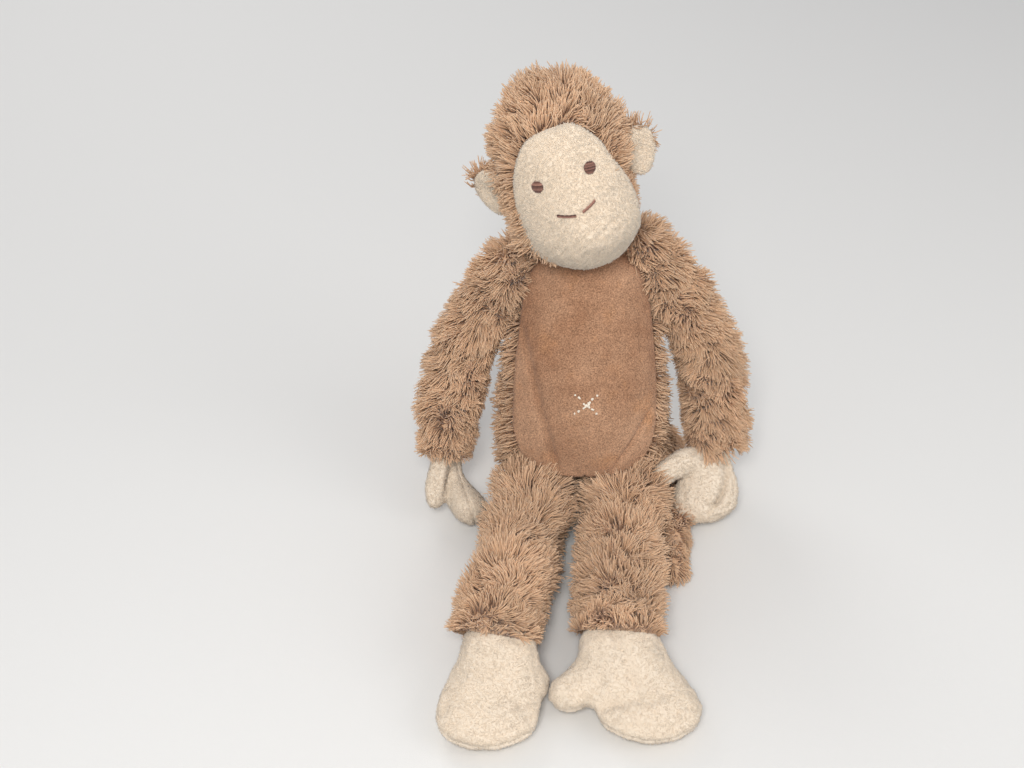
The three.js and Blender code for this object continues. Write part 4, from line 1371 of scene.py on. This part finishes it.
def foot_forms(word, inset, fine):
    """A flipper that swells forwards from the ankle, and the big toe on its inner side."""
    side = mirror[word][0]
    shift = side * foot_out[word]
    reach = -side * toe_reach[word]
    flipper = {
        "points": [(0, 17, 0), (0, 0, 0), (shift * 0.35, -15, -6.5), (shift, -30, -9), (shift, -46, -9.5)],
        "widths": [15, *ankle_widths[word], 22, 23.5, 24, 22.5, 20],
        "depths": [13, 13, 14, 13, 11.5, 11, 10.5, 10, 9],
        "caps": [13, 14],
        "across": (1, 0, 0),
    }
    toe = {
        "points": [(0, -5, -5), (reach * 0.5, -10, -7), (reach, toe_tip[word], -8)],
        "widths": [11, 10, 9],
        "depths": [12.5, 10.5, 9.5],
        "caps": [8, 10],
        "across": (0, 0, 1),
    }
    return [closed_skin(flipper, inset, fine, fine), closed_skin(toe, inset, fine, fine)]


# %% Feet
def foot_skin(word):
    """The stuffed foot, with a crease where the big toe parts from the flipper, another down from the
    ankle, a hollow beside it and a groove along the seam."""
    points, quads = fused(foot_forms(word, terry_depth, fine=40), voxel=2.2, rounds=4)
    sewn = (np.abs(points[:, 2] - foot_seam) < 1.3) | (points[:, 1] > 6)
    points, quads = stuffed(points, quads, sewn, cap=2.4)
    triangles = halved(points, quads)
    side = mirror[word][0]
    x, y, z = points.T
    inner = x * side
    toe_fold = hill(y + 27.5 + 0.1 * inner, 3.0) * ramp(inner, -16, -10) * ramp(inner, 4, -6)
    ankle_fold = hill(inner + 3 + 0.21 * (y + 3), 3.2) * ramp(y, -34, -26)
    hollow = hill(x - side * foot_out[word] * 0.6, 8) * hill(y + 13, 9)
    dents = {"left": 3.2 * toe_fold + 2.0 * ankle_fold, "right": 0.6 * toe_fold + 2.4 * hollow}
    points[:, 2] -= dents[word] * (z > -8.5)
    points[:, 2] += 0.5 * waves(points, 26.0, 7)[:, 2] * (z > -8)
    points[:, 2] = np.maximum(points[:, 2], floor_clear - ankles[word][2])
    return grooved(points, triangles, axis=2, level=foot_seam, depth=1.1, width=1.0), triangles


def foot_place(word):
    """The function that puts points of a foot's own frame at its ankle."""
    return lambda points: points @ turned("z", foot_yaw[word]).T + ankles[word]


for number, word in enumerate(words):
    points, triangles = foot_skin(word)
    for upper, name, count in ((True, "upper", 23000), (False, "sole", 4200)):
        half = placed(half_pouch(points, triangles, 2, foot_seam, upper), foot_place(word))
        # the feet wear the darker copy of the cream terry: painted shade
        grow_terry(f"{word}_foot_{name}_terry", half, f"{word}_foot", [f"{word}_foot_{name}"], count,
                   finish=painted_shade_terry, length=0.95, width=0.3, lean=0.18, seed=140 + number)

# %% The forms of a hand
hand_across = {"left": np.array([1.0, 0.0, 0.0]), "right": np.array([0.05, -0.76, 0.65])}
hand_seam = {"left": 0.0, "right": 2.5}


def hand_basis(word):
    """Columns: across the hand, through it, and up towards the wrist."""
    up = -unit(hand_ahead[word])
    wide = unit(hand_across[word] - (hand_across[word] @ up) * up)
    return np.column_stack([wide, np.cross(up, wide), up])


def hand_forms(word, inset, fine):
    """A mitten that swells down from the wrist and a thumb beside it. One hand hangs with its thumb to the
    side; the other lies on its edge, so its thumb hangs straight down and its mitten bends towards the
    leg."""
    mitten = {"caps": [9, 9], "across": (1, 0, 0)}
    thumb = {"caps": [6, 6.3], "across": (0, 0, 1)}
    if word == "left":
        mitten["points"] = [(0, 0, 11), (-1.5, 0, 0), (-5.5, -2, -13), (-9.5, -2.5, -25), (-11, -1, -37)]
        mitten["widths"], mitten["depths"] = [11, 11, 15, 17.5, 16.5], [11, 10.2, 10, 10.5, 9.5]
        thumb["points"] = [(-2, -2, -3), (-18, -10, -4), (-35, -15, -11)]
        thumb["widths"], thumb["depths"] = [6.8, 7.3, 7], [6.8, 7.2, 6.8]
    else:
        bend = np.array([[-66.5, -27.5, 37], [-66, -28.5, 27], [-65.5, -33.5, 17],
                         [-59.5, -45, 11.5], [-50, -54, 11.5]])
        hang = np.array([[-71, -31, 36], [-74, -37.5, 27], [-75.5, -43.5, 18], [-75.5, -48, 9]])
        mitten["points"] = (bend - wrists[word]) @ hand_basis(word)
        thumb["points"] = (hang - wrists[word]) @ hand_basis(word)
        mitten["widths"], mitten["depths"] = [6, 5.2, 7, 10.2, 10.5], [6, 5.2, 7, 9.6, 9]
        thumb["widths"], thumb["depths"] = [5.4, 5.8, 5.8], [5.4, 5.8, 5.8]
    return [closed_skin(mitten, inset, fine, fine), closed_skin(thumb, inset, fine, fine)]


# %% Hands
def hand_skin(word):
    """The stuffed hand, with a crease beside the left thumb and a groove along the seam."""
    points, quads = fused(hand_forms(word, terry_depth, fine=40), voxel=1.7, rounds=3)
    sewn = (np.abs(points[:, 1] - hand_seam[word]) < 1.0) | (points[:, 2] > 2)
    points, quads = stuffed(points, quads, sewn, cap=1.8)
    triangles = halved(points, quads)
    points += 0.4 * waves(points, 20.0, 8)
    if word == "left":
        x, y, z = points.T
        crease = hill(x - 3.5 + 0.024 * (z + 8) ** 2, 2.1) * (y < 0)
        points[:, 1] += 3.2 * crease * ramp(z, -33, -27) * ramp(z, -2, -7)
    return grooved(points, triangles, axis=1, level=hand_seam[word], depth=1.0, width=0.9), triangles


def hand_place(word):
    """The function that puts points of a hand's own frame at its wrist."""
    return lambda points: points @ hand_basis(word).T + wrists[word]


hand_panels = {"left": ("back", "palm"), "right": ("palm", "back")}
for number, word in enumerate(words):
    points, triangles = hand_skin(word)
    for upper, name, count in zip((False, True), hand_panels[word], (9000, 5000)):
        half = placed(half_pouch(points, triangles, 1, hand_seam[word], upper), hand_place(word))
        half["points"][:, 2] = np.maximum(half["points"][:, 2], floor_clear)
        # the hands wear the darker copy of the cream terry: painted shade
        grow_terry(f"{word}_hand_{name}_terry", half, f"{word}_hand", [f"{word}_hand_{name}"], count,
                   finish=painted_shade_terry, length=1.1, width=0.3, lean=0.2, seed=150 + number)

# %% [markdown]
# ## Seams, filling and the weighted seat
# Inside the skins are the pieces that nobody sees until a seam opens: rings of sewing thread at the joints,
# loose fibre in every form, and a pouch of pellets that keeps the toy upright. They are simple swelling
# forms with a lumpy surface, kept well inside the skins.


# %% Rings of stitches
def stitch_ring(middle, axis, radius, thickness):
    """A ring of thread: at an angle u round the ring and v round the thread, the thread's radius is
    t (1 + 0.25 cos(2 v - 40 u)), so two lobes turn twenty times on the way round."""
    around, tube = 120, 8
    side = unit(np.cross(axis, np.array([0.31, 0.52, 0.8])))
    front = np.cross(axis, side)
    u = 2 * np.pi * np.arange(around)[:, None] / around
    v = 2 * np.pi * np.arange(tube)[None] / tube
    size = thickness * (1 + 0.25 * np.cos(2 * v - 40 * u))
    out = side * np.cos(u)[..., None] + front * np.sin(u)[..., None]
    points = middle + out * (radius + size * np.cos(v))[..., None] + axis * (size * np.sin(v))[..., None]
    points = points.reshape(-1, 3)
    ring = np.arange(around * tube).reshape(around, tube)
    onward = np.roll(ring, -1, 0)
    a, b = ring.ravel(), np.roll(ring, -1, 1).ravel()
    c, d = onward.ravel(), np.roll(onward, -1, 1).ravel()
    triangles = np.vstack([np.stack([a, b, d], 1), np.stack([a, d, c], 1)])
    return points, outward(points, triangles)


def put_ring(name, middle, axis, ball, angle, body):
    """A ring on a ball, at an angle from the axis through the ball's middle."""
    axis = unit(axis)
    tilt = math.radians(angle)
    foot = middle + axis * ball * math.cos(tilt)
    points, triangles = stitch_ring(foot, axis, ball * math.sin(tilt), thickness=0.6)
    put_piece(f"{name}_stitches", points, triangles, sewing_thread, body, [name])


put_ring("neck_seam", neck, head_middle - neck, ball=neck_radius + 1.1, angle=35, body="neck_ring")
put_ring("tail_seam", tail_root, -tail_start, ball=tail_radius + 0.9, angle=75, body="torso")
for word in words:
    leg_start = unit(ankles[word] - hip * mirror[word])
    put_ring(f"{word}_shoulder_seam", shoulder * mirror[word], -mirror[word] * [1, 0, 0],
             ball=arm_radius + 0.9, angle=19, body=f"{word}_shoulder")
    put_ring(f"{word}_hip_seam", hip * mirror[word], -leg_start, ball=leg_radius + 1, angle=37,
             body=f"{word}_hip")
    put_ring(f"{word}_wrist_seam", wrists[word], wrist_ahead(word), ball=10.6, angle=90, body=f"{word}_arm")
    put_ring(f"{word}_ankle_seam", ankles[word] - 4 * leg_start, leg_start, ball=12.6, angle=90,
             body=f"{word}_leg")


# %% Filling of the limbs, the torso and the head
def put_filling(name, skin, body):
    """Loose fibre: the form with a lumpy surface."""
    points, triangles = skin["points"], skin["triangles"]
    lump = 0.5 + 0.5 * np.abs(waves(points, 9.0, 9)[:, :1])
    lumpy = points - skin_normals(points, triangles) * lump
    put_piece(f"{name}_fibre", lumpy, triangles, loose_filling, body, [name])


filling_depth = 9.5
for word in words:
    for limb, shape, past_end in (("arm", arm_shape(word), 29), ("leg", leg_shape(word), 52)):
        skin = cupped_skin(shape, past_end, filling_depth, cup_depth=4, rings=30, around=28)
        put_filling(f"{word}_{limb}_stuffing", skin, f"{word}_{limb}")
torso_filling = closed_skin(torso_shape, filling_depth + 1, rings=34, around=36)
points = torso_filling["points"]
points[:, 1] = np.maximum(points[:, 1], lap_line(points[:, 2]) + 5)
points[:, 2] = np.maximum(points[:, 2], 5.0)
torso_filling["points"] = with_arm_hollows(points, arm_radius + 2.5)
put_filling("torso_stuffing", torso_filling, "torso")
head_filling = closed_skin(head_shape, filling_depth + 5.5, rings=34, around=36)
head_filling["points"] = with_neck_hollow(head_filling["points"], neck_radius + 4)
put_filling("head_stuffing", placed(head_filling, in_head), "head")

# %% Filling of the tail, the hands, the feet and the neck
put_filling("tail_stuffing", closed_skin(tail_shape, inset=5.0, rings=40, around=14), "tail")
for word in words:
    for part, forms, place, depth, axis, reach in (("hand", hand_forms, hand_place, 4.0, 2, 4.0),
                                                   ("foot", foot_forms, foot_place, 7.0, 1, 8.0)):
        points, quads = fused(forms(word, depth, fine=24), voxel=2.0, rounds=4)
        points[:, axis] = np.minimum(points[:, axis], reach)
        skin = {"points": place(word)(points), "triangles": halved(points, quads)}
        skin["points"][:, 2] = np.maximum(skin["points"][:, 2], 3.0)
        put_filling(f"{word}_{part}_stuffing", skin, f"{word}_{part}")
neck_filling = closed_skin(ball_shape(neck, 10.5), 0, rings=20, around=24)
put_filling("neck_stuffing", neck_filling, "neck_core")

# %% The weighted seat
pouch_middle = np.array([0.0, -4.5, 14.2])
pouch_half = np.array([26.6, 9.7, 9.0])
pouch_floor = 7.4


def pouch_skin():
    """A flattened ball with soft pleats that gather towards its tied mouth at the top, and a flat
    underside."""
    rings, around = 30, 60
    v = np.pi * np.arange(1, rings + 1)[:, None] / (rings + 1)
    u = 2 * np.pi * np.arange(around)[None] / around
    pleats = 1 + 0.07 * np.sin(10 * u) * hill(v, 0.9)
    ball = np.stack([np.sin(v) * np.cos(u) * pleats, np.sin(v) * np.sin(u) * pleats, np.cos(v) + 0 * u], -1)
    ball = np.vstack([[0, 0, 1], ball.reshape(-1, 3), [0, 0, -1]])
    points = pouch_middle + ball * pouch_half
    points[:, 2] = np.maximum(points[:, 2], pouch_floor)
    return points, outward(points, tube_triangles(rings, around))


points, triangles = pouch_skin()
put_piece("seat_pouch", points, triangles, pouch_weave, "torso", ["bean_pouch"])

# %% A pellet: twelve corners, and the twenty trios of them that lie next to each other
golden = (1 + math.sqrt(5)) / 2
pellet = unit(np.array([[0, 1, golden], [0, -1, golden], [0, 1, -golden], [0, -1, -golden], [1, golden, 0],
                        [-1, golden, 0], [1, -golden, 0], [-1, -golden, 0], [golden, 0, 1], [-golden, 0, 1],
                        [golden, 0, -1], [-golden, 0, -1]]))
gap = np.linalg.norm(pellet[:, None] - pellet[None], axis=-1)
near = (gap > 0.1) & (gap < 1.1)
trios = [(a, b, c) for a in range(12) for b in range(a) for c in range(b)]
trios = np.array([(a, b, c) for a, b, c in trios if near[a, b] and near[b, c] and near[a, c]])
a, b, c = (pellet[trios[:, i]] for i in range(3))
flip = np.einsum("ij,ij->i", a, np.cross(b, c)) < 0
trios[flip] = trios[flip][:, ::-1]
print("a pellet has", len(trios), "triangles")

# %% Pellets in the seat
pellet_radius, pellet_room, most_pellets = 1.5, 2.6, 360
spots = dice.uniform(-1, 1, (1500, 3))
spots = spots[np.linalg.norm(spots, axis=1) < 1] * (pouch_half - pellet_room) + pouch_middle
spots = spots[spots[:, 2] > pouch_floor + 2][:most_pellets]
points = (spots[:, None] + pellet[None] * pellet_radius).reshape(-1, 3)
triangles = (trios[None] + 12 * np.arange(len(spots))[:, None, None]).reshape(-1, 3)
put_piece("seat_pellets", points, triangles, pale_pellets, "torso", ["bean_fill"])
